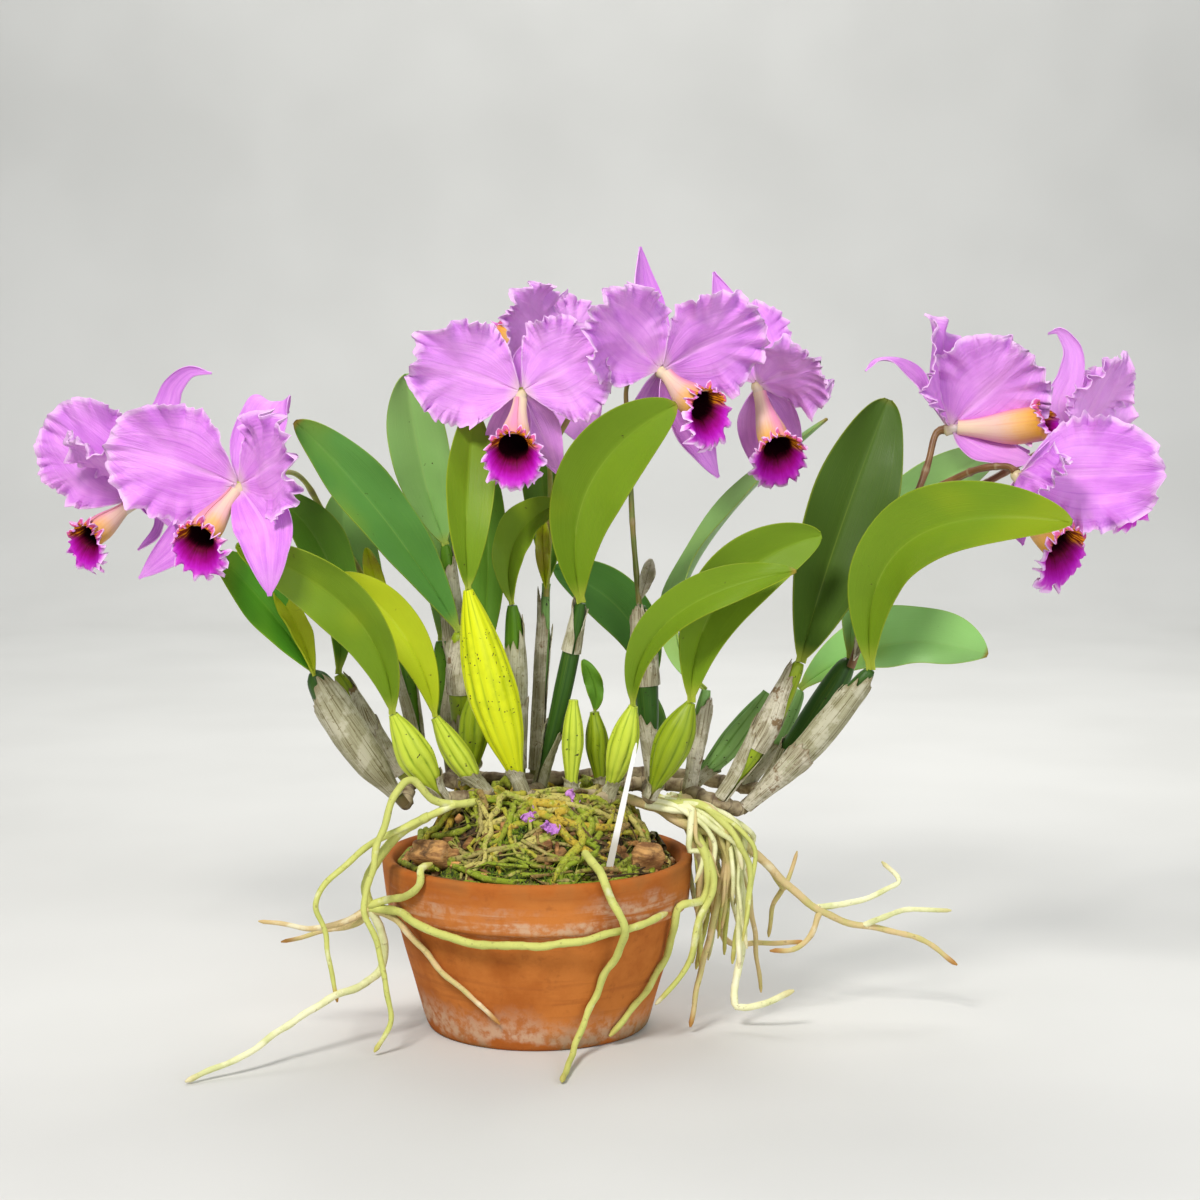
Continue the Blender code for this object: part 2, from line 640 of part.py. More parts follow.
def bark_chunk(name, plan, group):
    """A block of bark that leans on the slope of the fill, one corner lopped."""
    (x, y), size, turn = plan
    r = math.hypot(x, y)
    bpy.ops.mesh.primitive_cube_add(size=1)
    thing = bpy.context.active_object
    slope = math.atan2(fill_height(r - 12) - fill_height(r + 12), 24)
    outward = math.atan2(y, x)
    shape = bmesh.new()
    shape.from_mesh(thing.data)
    bmesh.ops.bevel(shape, geom=shape.edges, offset=0.12, segments=1, affect="EDGES")
    for vert in shape.verts:
        vert.co.x *= size[0] * (1 + 0.15 * vert.co.y)
        vert.co.y *= size[1]
        vert.co.z *= size[2]
        local = Vector((vert.co.y, -vert.co.x, vert.co.z))
        spun = Vector((local.x * math.cos(math.radians(turn)) - local.y * math.sin(math.radians(turn)),
                       local.x * math.sin(math.radians(turn)) + local.y * math.cos(math.radians(turn)),
                       local.z))
        tipped = Vector((spun.x * math.cos(slope) + spun.z * math.sin(slope), spun.y,
                         spun.z * math.cos(slope) - spun.x * math.sin(slope)))
        vert.co = Vector((tipped.x * math.cos(outward) - tipped.y * math.sin(outward),
                          tipped.x * math.sin(outward) + tipped.y * math.cos(outward), tipped.z))
    seat = max(fill_height(math.hypot(x + vert.co.x, y + vert.co.y)) - vert.co.z for vert in shape.verts)
    for vert in shape.verts:
        vert.co = (vert.co + Vector((x, y, seat + BARK_SEAT))) * MM
    shape.to_mesh(thing.data)
    shape.free()
    mesh = thing.data
    bpy.data.objects.remove(thing, do_unlink=True)
    block = new_object(name, mesh, group)
    paint(block, (0.42, 0.23, 0.09), 0.9)


# Roots on the mound: azimuth at the mat, sideways drift as they run to the wall, and end radius
MOSSY_ROOTS = ((-170, 8, 98), (-128, 10, 92), (-112, -9, 98), (-97, 10, 98), (-84, -8, 98),
               (-13, 9, 97), (18, 10, 98), (55, -8, 98), (110, -9, 98))


MOSSY_RADIUS = 2.8            # the thickest of them


def root_mat(group):
    """A low pad of matted roots on the mound, with roots that run from it down the slope."""
    pad = turned("root_mat", [(0, MAT_TOP), (MAT_RADIUS - 6, MAT_TOP), (MAT_RADIUS, MAT_TOP - 2),
                              (MAT_RADIUS + 2, PLATEAU + GAP), (0, PLATEAU + GAP)], group)
    pieces = [settle(pad)]
    for number, (azimuth, drift, end) in enumerate(MOSSY_ROOTS):
        radius = MOSSY_RADIUS - 0.3 + 0.3 * math.sin(2.1 * number)
        route = []
        for r, share in ((52, 0), (65, 0.2), (78, 1), (end, 0.5)):
            angle = math.radians(azimuth + drift * share)
            rise = -MOSSY_RADIUS if r < MAT_RADIUS else 2 * GAP + radius * 1.7
            z = (MAT_TOP if r < MAT_RADIUS else fill_height(r)) + rise
            route.append((r * math.cos(angle), r * math.sin(angle), z))
        pieces.append(tube(f"root {number}", route, taper(4, radius, radius * 0.7), group, sides=4))
    mat = fuse("root_mat", pieces, group)
    smooth(mat)
    paint(mat, (0.33, 0.38, 0.08), 0.85)


ROOT_STANDOFF = 1.6           # between a root's places, its straight stretches come closer


def on_pan(azimuth, z, radius):
    """A place where a root of this radius lies against the outside of the pan."""
    r = pan_radius(z) + radius + ROOT_STANDOFF
    a = math.radians(azimuth)
    return (r * math.cos(a), r * math.sin(a), z)


# Air roots: each is its places, then its radius at the start and at the tip
ROOTS = {
    "left": (
        [((-34, -38, 173.4), (-60, -55, 174.4), (-73, -61, 178), (-87, -67, 194), (-98, -76, 187),
          (-109, -80, 156), (-115, -83, 132), (-121, -85, 106), (-113, -86, 84), (-105, -87, 46),
          (-103, -88, 22), (-114, -92, 3)), 3.0, 1.8],
        [((-58, -55, 174), (-78, -62, 166), (-110, -70, 152), (-127, -75, 141), (-154, -80, 113),
          (-149, -80, 83), (-141, -80, 36)), 2.8, 1.6],
        [((-76, -62, 167), (-96, -62, 155), (-113, -60, 135), (-122, -55, 114), (-119, -50, 94)), 3.4, 3.4],
        [((-120, -50, 98), (-134, -55, 90), (-157, -60, 85), (-199, -60, 90)), 2.8, 1.5],
        [((-120, -50, 96), (-128, -46, 86), (-150, -42, 79), (-185, -45, 71)), 2.6, 1.4],
        [((-119, -50, 96), (-112, -46, 78), (-110, -52, 62), (-118, -62, 48), (-156, -94, 36),
          (-196, -130, 15), (-237, -160, 2.3)), 3.3, 2.0],
        [((-120, -50, 97), on_pan(-150, 97, 3.2), on_pan(-137, 94, 4), on_pan(-122, 87, 7),
          on_pan(-106, 85, 7), on_pan(-93, 85, 7), on_pan(-77, 87, 7), on_pan(-61, 92, 4),
          on_pan(-47, 95, 3.2), on_pan(-36, 98, 3.0)), 3.2, 2.6],
        [((-120, -50, 97), on_pan(-152, 90, 2.8), on_pan(-142, 75, 2.8), on_pan(-133, 60, 2.6),
          on_pan(-120, 44, 2.4), on_pan(-106, 22, 2.0)), 2.8, 1.6],
        [((-120, -52, 100), on_pan(-150, 106, 3.0), on_pan(-139, 114, 3.0), on_pan(-133, 124, 3.0),
          (-80, -85, 134), (-73, -78, 136)), 3.0, 2.6],
    ),
    "front": (
        [((35, -72, 141.9), (40, -86, 139.6), (45, -98, 136), on_pan(-66, 130, 3.4), on_pan(-63, 116, 4.5),
          on_pan(-60, 100, 12.5), on_pan(-59, 84, 13), on_pan(-61, 60, 4),
          on_pan(-66, 34, 3.4), (30, -100, 14), (24, -130, 5), (20, -160, 2.4)), 3.3, 2.0],
    ),
    "right": (
        [((54, -14, 174.4), (84, -14, 165), (100, -20, 157), (118, -24, 151), (142, -14, 146),
          (150, -4, 140)), 3.6, 5.0],
        [((118, -22, 152), (133, -18, 140), (137, -20, 121), (127, -28, 76), (117, -33, 34),
          (112, -35, 5)), 3.2, 1.8],
        [((138, -14, 147), (146, -4, 128), (152, -10, 78), (145, -20, 24), (150, -23, 16),
          (165, -26, 20), (188, -30, 31)), 3.4, 2.4],
        [((146, -6, 142), (152, 10, 120), (160, 10, 73), (166, 5, 20)), 2.8, 1.5],
        [((144, -6, 145), (172, 4, 115), (208, 10, 82), (245, 14, 68), (282, 10, 61), (312, 5, 41)),
         3.6, 1.8],
        [((206, 10, 83), (234, 20, 85), (270, 30, 98), (258, 35, 113)), 2.6, 1.7],
        [((243, 14, 69), (273, 0, 84), (305, -10, 86)), 2.4, 1.5],
        [((210, 10, 81), (197, 5, 56), (172, 0, 53)), 2.4, 1.8],
        [((172, 4, 115), (184, 22, 96), (194, 30, 122)), 2.4, 1.4],
        [((184, 22, 98), (176, 28, 80), (173, 30, 56)), 2.2, 1.4],
        [((126, -22, 150), (128, 20, 90), (142, 25, 54), (166, 25, 53), (200, 18, 55)), 3.0, 1.8],
        [((110, -24, 155), (124, -38, 128), (122, -38, 104), on_pan(-28, 96, 3.4), on_pan(-24, 60, 3.2),
          on_pan(-37, 34, 3.0), on_pan(-53, 8, 2.6)), 3.4, 2.2],
        [((112, -23, 154), (128, -40, 120), (116, -46, 80), (108, -46, 51), (86, -64, 30)), 3.0, 1.8],
    ),
}
# Number of roots in the bunch that hangs under the right rhizome
BUNCH = 9


def air_roots(side, group):
    """The long roots of one side, fused where they leave each other."""
    pieces = []
    for number, (places, thick, thin) in enumerate(ROOTS[side]):
        route = through(places, 1)
        pieces.append(tube(f"{side} root {number}", route, taper(len(route), thick, thin), group,
                           sides=4))
    if side == "right":
        for number in range(BUNCH):
            share = (number + 0.5) / BUNCH
            x = 121 + 25 * share
            y = -20 + 16 * share + 7 * math.sin(2.4 * number)
            low = 44 + 40 * (0.5 + 0.5 * math.sin(1.7 * number + 0.6))
            sway = 7 * math.sin(3.1 * number)
            route = [(x, -22 + 14 * share, 149), (x + 4 + sway, y + 3, 104), (x + 1 + sway * 0.3, y, low)]
            pieces.append(tube(f"bunch {number}", route, (3.2, 3.0, 2.0), group, sides=4))
    if len(pieces) == 1:
        roots = pieces[0]
        roots.name = "roots_" + side
    else:
        roots = fuse("roots_" + side, pieces, group)
    smooth(roots)
    paint(roots, (0.66, 0.66, 0.46), 0.7)


# Flower stalks: each branch is its places and the bloom it carries, which it joins from behind,
# then the stem's radius, then its sheath as the foot, bend and tip
PEDICEL_BEND = HUB + 5        # how far behind the hub a stalk turns straight at it
PEDICEL_END = HUB + 0.4       # how far behind the hub it stops
STALKS = {
    "stalk_left": ([((-106, 46.3, 273), (-128, 42, 322), (-158, 38, 374), (-172, 18, 402),
                     (-182, -24, 410), "bloom_2"),
                    ((-158, 38, 374), (-210, 50, 396), (-262, 56, 392), "bloom_1")], 2.4,
                   ((-107, 44.6, 278), (-118, 39, 316), (-128, 37, 350))),
    "stalk_centre": ([((6, 32.6, 314), (9, 33, 372), (8, 28, 420), (0, 10, 452), "bloom_3"),
                      ((8, 28, 420), (26, 36, 452), (40, 48, 480), "bloom_4")], 2.2,
                     ((6, 31, 320), (2, 26, 356), (0, 24, 394))),
    "stalk_middle": ([((75, 25, 308.8), (82, 40, 370), (80, 50, 430), (70, 38, 470), "bloom_5"),
                      ((80, 50, 430), (118, 78, 452), (150, 84, 474), "bloom_6")], 2.4,
                     ((76, 26.5, 315), (86, 36, 348), (92, 40, 384))),
    "stalk_right": ([((232, 23.7, 262), (256, 22, 330), (278, 26, 386), (288, 32, 412), "bloom_7"),
                     ((278, 26, 386), (306, 4, 404), (322, -12, 412), "bloom_8"),
                     ((278, 26, 386), (326, 50, 394), (376, 73, 418), "bloom_9")], 3.2,
                    ((234, 20.5, 270), (242, 12, 306), (250, 8, 340))),
}


def stalk(name, plan, group):
    """A flower stalk with its branches and the flat sheath round its foot."""
    branches, radius, sheath = plan
    pieces = []
    for number, branch in enumerate(branches):
        hub, face = Vector(BLOOMS[branch[-1]]["hub"]), toward(*BLOOMS[branch[-1]]["face"])
        route = through([*branch[:-1], hub - face * PEDICEL_BEND], 2) + [hub - face * PEDICEL_END]
        pieces.append(tube(f"{name} {number}", route, taper(len(route), radius, radius * 0.8), group,
                           sides=4))
    line = Midline(*sheath, VIEW)
    pieces.append(sheet(name + " sheath", leaf_point(line, 15, 20), 4, 2, LEAF_SHEET, group))
    stem = fuse(name, pieces, group)
    smooth(stem)
    paint(stem, (0.3, 0.2, 0.06), 0.5)


def build():
    fresh_scene()
    orchid = new_collection("cattleya_orchid")
    cutters = new_collection("cutters")
    pan(orchid, cutters)
    growing_medium(orchid, cutters)
    label_stake(orchid)
    for name, plan in BARK.items():
        bark_chunk(name, plan, orchid)
    root_mat(orchid)
    carriers = {side: canes(side, orchid) for side in RHIZOMES}
    for key, plan in SHOOTS.items():
        if plan[5]:
            leaf("leaf_" + key, plan, carriers[plan[0]], orchid)
    for side in ROOTS:
        air_roots(side, orchid)
    for name, plan in STALKS.items():
        stalk(name, plan, orchid)
    for name, plan in BLOOMS.items():
        flower = bloom(name, plan, orchid)
        lip(name.replace("bloom", "lip"), plan, flower, orchid)


build()
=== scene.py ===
# %% [markdown]
# A cattleya orchid in flower, in a terracotta bulb pan.
# The CAD model gives the frame: where the pot stands, where each bulb, leaf and flower sits.
# Here each of those plain solids gets a finer stand-in. Every new shape is a surface worked out
# with numpy as whole arrays, so one formula with a few numbers makes all leaves or all petals.

import bpy
import numpy as np
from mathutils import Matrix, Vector


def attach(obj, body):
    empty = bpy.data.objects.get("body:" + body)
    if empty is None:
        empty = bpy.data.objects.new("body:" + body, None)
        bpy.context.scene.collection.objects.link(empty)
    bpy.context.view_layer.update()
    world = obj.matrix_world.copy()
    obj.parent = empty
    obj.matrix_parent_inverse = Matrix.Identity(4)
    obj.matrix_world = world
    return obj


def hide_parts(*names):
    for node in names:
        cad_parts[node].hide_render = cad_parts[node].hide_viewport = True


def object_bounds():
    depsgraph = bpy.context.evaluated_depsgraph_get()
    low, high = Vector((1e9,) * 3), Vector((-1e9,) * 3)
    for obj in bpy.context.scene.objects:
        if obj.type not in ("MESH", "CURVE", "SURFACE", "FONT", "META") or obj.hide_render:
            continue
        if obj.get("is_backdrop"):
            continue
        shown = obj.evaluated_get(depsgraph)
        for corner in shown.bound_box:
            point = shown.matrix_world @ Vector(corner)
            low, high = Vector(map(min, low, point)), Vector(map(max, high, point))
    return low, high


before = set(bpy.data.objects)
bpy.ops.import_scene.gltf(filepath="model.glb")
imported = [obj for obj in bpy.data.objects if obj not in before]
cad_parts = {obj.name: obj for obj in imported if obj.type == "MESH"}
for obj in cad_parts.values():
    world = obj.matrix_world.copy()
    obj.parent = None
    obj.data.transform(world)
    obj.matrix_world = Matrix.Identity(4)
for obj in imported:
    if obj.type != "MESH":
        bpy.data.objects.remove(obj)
cad_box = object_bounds()
MM = 0.001
UP = np.array([0.0, 0.0, 1.0])
WHITE = (1, 1, 1)
print("nodes in the frame:", len(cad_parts))

# %% [markdown]
# Organic shapes need soft irregularity that is the same on each run.
# A sum of sines with random directions does that for any array of points, and its bumps have a
# size that we choose, unlike white noise.


# %% Soft noise and curves
def unit(vectors):
    return vectors / np.maximum(np.linalg.norm(vectors, axis=-1, keepdims=True), 1e-9)


def grain(places, size, seed, waves=9):
    """Soft noise of about -1 to 1: the sum of sines of the place's dot product with random
    directions, whose wavelengths are near `size`, over the root of half their count."""
    draw = np.random.default_rng(seed)
    places = np.asarray(places, float)
    if places.ndim < 2 or places.shape[-1] > 3:
        places = places[..., None]
    ways = unit(draw.normal(size=(waves, places.shape[-1])))
    ways *= 2 * np.pi / size * draw.uniform(0.6, 1.5, (waves, 1))
    return np.sin(places @ ways.T + draw.uniform(0, 2 * np.pi, waves)).sum(-1) / np.sqrt(waves / 2) / 1.6


def ease(low, high, x):
    """0 below low, 1 above high, and 3t^2 - 2t^3 between."""
    t = np.clip((np.asarray(x, float) - low) / (high - low), 0, 1)
    return t * t * (3 - 2 * t)


def around(sides):
    """Angles of a full turn, without the last, which is the first again."""
    return np.linspace(0, 2 * np.pi, sides, endpoint=False)


def spine(places, count):
    """A smooth curve through the places: on each stretch the Catmull-Rom cubic, which takes its
    slope at a place from that place's two neighbours."""
    places = np.asarray(places, float)
    ends = np.vstack([2 * places[0] - places[1], places, 2 * places[-1] - places[-2]])
    length = np.concatenate([[0], np.cumsum(np.linalg.norm(np.diff(places, axis=0), axis=1))])
    walk = np.interp(np.linspace(0, length[-1], count), length, np.arange(len(places)))
    index = np.minimum(walk.astype(int), len(places) - 2)
    t = (walk - index)[:, None]
    a, b, c, d = (ends[index + k] for k in range(4))
    return 0.5 * (2 * b + (c - a) * t + (2 * a - 5 * b + 4 * c - d) * t ** 2
                  + (3 * b - a - 3 * c + d) * t ** 3)


def bow(base, middle, tip, u):
    """The quadratic Bezier curve from base to tip that passes through middle half way."""
    base, middle, tip = (np.asarray(place, float) for place in (base, middle, tip))
    control = 2 * middle - (base + tip) / 2
    u = np.asarray(u)[:, None]
    return (1 - u) ** 2 * base + 2 * u * (1 - u) * control + u ** 2 * tip


def toward(azimuth, elevation):
    """Unit vector: azimuth 0 looks at the viewer, +90 to the right; elevation is above the level."""
    a, e = np.radians(azimuth), np.radians(elevation)
    return np.array([np.sin(a) * np.cos(e), -np.cos(a) * np.cos(e), np.sin(e)])


def beside(line, *moves):
    """The line's points, moved at each place of the grid by a distance along each way."""
    return line[:, None] + sum(way[:, None] * far[..., None] for way, far in moves)


def channels(*values):
    """Four masks for each point. They stretch to each other's size, and the missing ones are 0."""
    return np.stack(np.broadcast_arrays(*values, *[0.0] * (4 - len(values))), -1)


sample = grain(np.linspace(0, 100, 500), 5, 1)
print("soft noise from", sample.min().round(2), "to", sample.max().round(2))


# %% [markdown]
# All pieces are closed shells. Each point of a shell also carries four numbers that the materials
# read as masks, and a tint. Whole arrays go into the mesh at once with foreach_set.


# %% Closed shells
class Shells:
    """Gathers closed shells and makes them one mesh."""

    def __init__(self):
        self.places, self.masks, self.tints = [], [], []
        self.corners, self.sizes, self.uvs, self.slots = [], [], [], []
        self.count = 0

    def add(self, places, faces, uvs, mask, tint, slot=0):
        places = np.asarray(places, float).reshape(-1, 3)
        self.places.append(places)
        self.masks.append(np.broadcast_to(mask, (len(places), 4)))
        self.tints.append(np.broadcast_to((*tint, 1), (len(places), 4)) if np.ndim(tint) == 1 else tint)
        for face, uv in zip(faces, uvs):
            self.corners.append(face.reshape(-1) + self.count)
            self.sizes.append(np.full(len(face), face.shape[1]))
            self.uvs.append(uv.reshape(-1, 2))
            self.slots.append(np.full(len(face), slot))
        self.count += len(places)

    def piece(self, name, materials, node, slot, sharp=70):
        """Makes the mesh object, rides it on the pot's body and lets it stand for the CAD node."""
        mesh = bpy.data.meshes.new(name)
        corners, sizes = np.concatenate(self.corners), np.concatenate(self.sizes)
        mesh.vertices.add(self.count)
        mesh.vertices.foreach_set("co", (np.concatenate(self.places) * MM).ravel())
        mesh.loops.add(len(corners))
        mesh.loops.foreach_set("vertex_index", corners.astype(np.int32))
        mesh.polygons.add(len(sizes))
        mesh.polygons.foreach_set("loop_start", (np.cumsum(sizes) - sizes).astype(np.int32))
        mesh.polygons.foreach_set("loop_total", sizes.astype(np.int32))
        for material in materials:
            mesh.materials.append(material)
        mesh.polygons.foreach_set("material_index", np.concatenate(self.slots).astype(np.int32))
        mesh.update(calc_edges=True)
        mesh.uv_layers.new(name="UVMap").data.foreach_set("uv", np.concatenate(self.uvs).ravel())
        for label, values in (("mask", self.masks), ("tint", self.tints)):
            layer = mesh.attributes.new(label, "FLOAT_COLOR", "POINT")
            layer.data.foreach_set("color", np.concatenate(values).astype(np.float32).ravel())
        mesh.shade_smooth()
        mesh.set_sharp_from_angle(angle=np.radians(sharp))
        thing = bpy.data.objects.new(name, mesh)
        bpy.context.scene.collection.objects.link(thing)
        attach(thing, "root")
        if node:
            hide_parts(node)
        print(name, "faces:", len(sizes))
        return thing


# %% [markdown]
# Three kinds of shell make the whole plant. A sheet is a grid of points with two faces, half its
# thickness to either side of the middle surface, and a rim between them. A tube is a row of rings
# on a path, and a turned shape a row of rings about the upright axis. Rings end in a pole.


# %% Sheets, tubes and turned shapes
def grid_faces(rows, columns, wrap):
    """Corner numbers of the quads of a grid, rows first, and their UVs, each 0 to 1."""
    across = columns if wrap else columns - 1
    i, j = (k.ravel() for k in np.meshgrid(np.arange(rows - 1), np.arange(across), indexing="ij"))
    here, near = i * columns + j, i * columns + (j + 1) % columns
    faces = np.stack([here, here + columns, near + columns, near], 1)
    uvs = np.stack([np.stack([b / across, a / (rows - 1)], -1)
                    for a, b in ((i, j), (i + 1, j), (i + 1, j + 1), (i, j + 1))], 1)
    return faces, uvs


def sheet(shells, middle, thickness, mask, tint, slot=0):
    """A blade with two faces: the middle surface plus and minus half its thickness along the
    cross product of its slopes. The mask's third number tells the front, 1, from the back, 0."""
    rows, columns = middle.shape[:2]
    total = rows * columns
    normal = unit(np.cross(np.gradient(middle, axis=0), np.gradient(middle, axis=1)))
    half = normal * np.broadcast_to(thickness, (rows, columns))[..., None] / 2
    faces, uvs = grid_faces(rows, columns, False)
    index = np.arange(total).reshape(rows, columns)
    faces, uvs = [faces, faces[:, ::-1] + total], [uvs, uvs[:, ::-1]]
    for edge in (index[::-1, 0], index[:, -1], index[0], index[-1, ::-1]):
        place = np.stack([edge % columns / (columns - 1), edge // columns / (rows - 1)], -1)
        faces.append(np.stack([edge[:-1], edge[1:], edge[1:] + total, edge[:-1] + total], 1))
        uvs.append(np.stack([place[:-1], place[1:], place[1:], place[:-1]], 1))
    mask = np.tile(np.broadcast_to(mask, (rows, columns, 4)).reshape(-1, 4), (2, 1)).astype(float)
    mask[:, 2] = np.arange(2 * total) < total
    shells.add(np.concatenate([middle + half, middle - half]), faces, uvs, mask, tint, slot)


def rings(shells, places, poles, mask, tint, slot=0, turned=False):
    """Joins rings of points into a wall and closes either end with a fan of faces to its pole.
    The faces look out where the rings follow each other downward and each runs counterclockwise,
    seen from above. Where a ring's places run the other way, the faces are turned."""
    rows, sides = places.shape[:2]
    j, low, pole = np.arange(sides), (rows - 1) * sides, np.full(sides, rows * sides)
    near = (j + 1) % sides
    wall, wall_uvs = grid_faces(rows, sides, True)
    fan = np.stack([np.stack([(j + k) / sides, j * 0.0], -1) for k in (0.5, 0, 1)], 1)
    faces = [wall, np.stack([pole, j, near], 1), np.stack([low + near, low + j, pole + 1], 1)]
    uvs = [wall_uvs, fan, fan[:, ::-1] + (0, 1)]
    if turned:
        faces, uvs = [face[:, ::-1] for face in faces], [uv[:, ::-1] for uv in uvs]
    mask = np.broadcast_to(mask, (rows, sides, 4))
    shells.add(np.vstack([places.reshape(-1, 3), poles]), faces, uvs,
               np.vstack([mask.reshape(-1, 4), mask[0, :1], mask[-1, :1]]), tint, slot)


def tube(shells, path, radius, sides, mask, tint, slot=0):
    """Rings round a path: the path's point plus radius times (cos t, sin t) in the plane across
    it. The radius may differ from ring to ring and round each ring."""
    along = unit(np.gradient(path, axis=0))
    level = np.abs(along).max(0).argmin()
    side = unit(np.cross(along, np.eye(3)[level]))
    other = np.cross(along, side)
    turn = around(sides)[:, None]
    ring = side[:, None] * np.cos(turn) + other[:, None] * np.sin(turn)
    radius = np.broadcast_to(radius if np.ndim(radius) == 2 else radius[:, None], (len(path), sides))
    rings(shells, path[:, None] + ring * radius[..., None], path[[0, -1]], mask, tint, slot, True)


def lathe(shells, radius, height, turn):
    """Rings about the upright axis: (radius cos t, radius sin t, height)."""
    places = np.stack([radius * np.cos(turn), radius * np.sin(turn), height + 0 * turn], -1)
    rings(shells, places, [UP * height[0].mean(), UP * height[-1].mean()], 0, WHITE)


# %% [markdown]
# Materials are node trees. A small helper keeps them short: it makes a node, sets its inputs,
# and links any input that is another node's output. A finish is then a ground colour with coats
# laid over it, each as far as a mask or a noise says.


# %% Material helpers
class Finish:
    """A Principled material under construction."""

    def __init__(self, name):
        self.material = bpy.data.materials.new(name)
        self.material.use_nodes = True
        self.tree = self.material.node_tree
        self.shader = self.tree.nodes["Principled BSDF"]

    def node(self, kind, options=None, **inputs):
        node = self.tree.nodes.new("ShaderNode" + kind)
        for key, value in (options or {}).items():
            setattr(node, key, value)
        for key, value in inputs.items():
            self.put(node.inputs[int(key[1:]) if key[1:].isdigit() else key], value)
        return node

    def put(self, socket, value):
        if isinstance(value, bpy.types.Node):
            value = value.outputs[0]
        if isinstance(value, bpy.types.NodeSocket):
            self.tree.links.new(value, socket)
        else:
            socket.default_value = (*value, 1) if socket.type == "RGBA" else value

    def math(self, kind, a, b=0.0, c=0.0):
        return self.node("Math", {"operation": kind}, i0=a, i1=b, i2=c)

    def times(self, a, b):
        return self.math("MULTIPLY", a, b)

    def rest(self, value):
        return self.math("SUBTRACT", 1.0, value)

    def stray(self, value, noise, much):
        """The value, moved up and down by the noise."""
        return self.math("MULTIPLY_ADD", self.math("SUBTRACT", noise, 0.5), much, value)

    def span(self, value, low, high, start=0.0, end=1.0):
        """The value's stretch from low to high as start to end, eased."""
        return self.node("MapRange", {"interpolation_type": "SMOOTHSTEP"}, i0=value, i1=low, i2=high,
                         i3=start, i4=end)

    def coordinates(self, kind="Object", axis=None):
        where = self.node("TexCoord").outputs[kind]
        return where if axis is None else self.node("SeparateXYZ", i0=where).outputs[axis]

    def noise(self, scale, detail=3, rough=0.6, where=None):
        """Noise in the piece's own space. Three scales draw it out along an axis."""
        where = where or self.coordinates()
        if np.ndim(scale):
            where, scale = self.node("Mapping", i0=where, Scale=scale), 1
        return self.node("TexNoise", i0=where, Scale=scale, Detail=detail, Roughness=rough)

    def fibres(self, scale, detail=3, rough=0.6):
        """Noise that follows the blade, because it reads its UV."""
        return self.noise(scale, detail, rough, self.coordinates("UV"))

    def masks(self):
        read = self.node("Attribute", {"attribute_name": "mask"}).outputs
        return [*self.node("SeparateColor", i0=read["Color"]).outputs, read["Alpha"]]

    def tint(self):
        return self.node("Attribute", {"attribute_name": "tint"}).outputs["Color"]

    def mix(self, share, a, b, blend="MIX"):
        node = self.node("Mix", {"data_type": "RGBA", "blend_type": blend}, i0=share)
        self.put(node.inputs[6], a)
        self.put(node.inputs[7], b)
        return node.outputs[2]

    def ground(self, share, a, b, blend="MIX"):
        self.colour = self.mix(share, a, b, blend)

    def coat(self, share, colour):
        self.colour = self.mix(share, self.colour, colour)

    def ramp(self, value, *stops):
        node = self.node("ValToRGB", i0=value)
        ramp = node.color_ramp
        while len(ramp.elements) < len(stops):
            ramp.elements.new(0.5)
        for element, (place, colour) in zip(ramp.elements, stops):
            element.position, element.color = place, (*colour, 1)
        return node.outputs[0]

    def bump(self, height, strength, distance):
        bump = self.node("Bump", Strength=strength, Distance=distance, Height=height)
        self.put(self.shader.inputs["Normal"], bump)

    def end(self, rough, **fixed):
        fixed.update(Base_Color=self.colour, Roughness=rough)
        for key, value in fixed.items():
            self.put(self.shader.inputs[key.replace("_", " ")], value)
        print("finish:", self.material.name)
        return self.material


# %% [markdown]
# A petal is a lilac skin over white flesh. Fine veins fan out from its claw, the midrib is pale,
# and the crimped margin, where it thins out, is nearly white: partly its own paler colour and partly
# a painted highlight along the rim. The veins follow the blade, so they are noise in the blade's own
# UV, drawn out along its length. A painted picture could hold them, but each petal would need its
# own, and noise gives every petal different veins at once.
# Mask: how near the margin is, how far from the claw, front or back, and the folds, whose hollows near
# the margin get painted shade.

# %% Petal skin
f = Finish("petal skin")
edge, out, front, fold = f.masks()
veins, broad, cloud = f.fibres((42, 1.6, 1), 4), f.fibres((5, 2.2, 1)), f.noise(30, 3, 0.55)
sideways = f.coordinates("UV", 0)
turn = f.math("ARCTAN2", f.math("MULTIPLY_ADD", sideways, 1.8, -0.9), f.math("SUBTRACT", out, 0.42))
crape = f.noise(1.6, 4, 0.6, f.node("CombineXYZ", i0=f.times(turn, 9.0), i1=f.times(edge, 1.5)))
f.ground(f.span(broad, 0.34, 0.66), (0.54, 0.125, 0.66), (0.72, 0.24, 0.79))
f.coat(f.span(cloud, 0.44, 0.70, 0.0, 0.5), (0.82, 0.38, 0.86))
f.coat(f.span(veins, 0.52, 0.72, 0.0, 0.5), (0.46, 0.08, 0.62))
f.coat(f.span(veins, 0.48, 0.3, 0.0, 0.4), (0.90, 0.46, 0.92))
pale = f.node("SeparateColor", i0=f.tint()).outputs[0]
f.coat(f.times(pale, 0.75), (0.88, 0.50, 0.92))
rib = f.span(f.math("ABSOLUTE", f.math("SUBTRACT", sideways, 0.5)), 0.05, 0.0)
f.coat(f.times(f.times(rib, f.span(out, 0.95, 0.1)), 0.5), (0.92, 0.52, 0.88))
f.coat(f.span(out, 0.13, 0.0, 0.0, 0.75), (0.84, 0.66, 0.62))
# Painted shade: darker purple in the hollows of the ruffles near the margin.
f.coat(f.times(f.span(fold, 0.5, 0.25), f.span(edge, 0.5, 1.0, 0.0, 0.45)), (0.36, 0.07, 0.50))
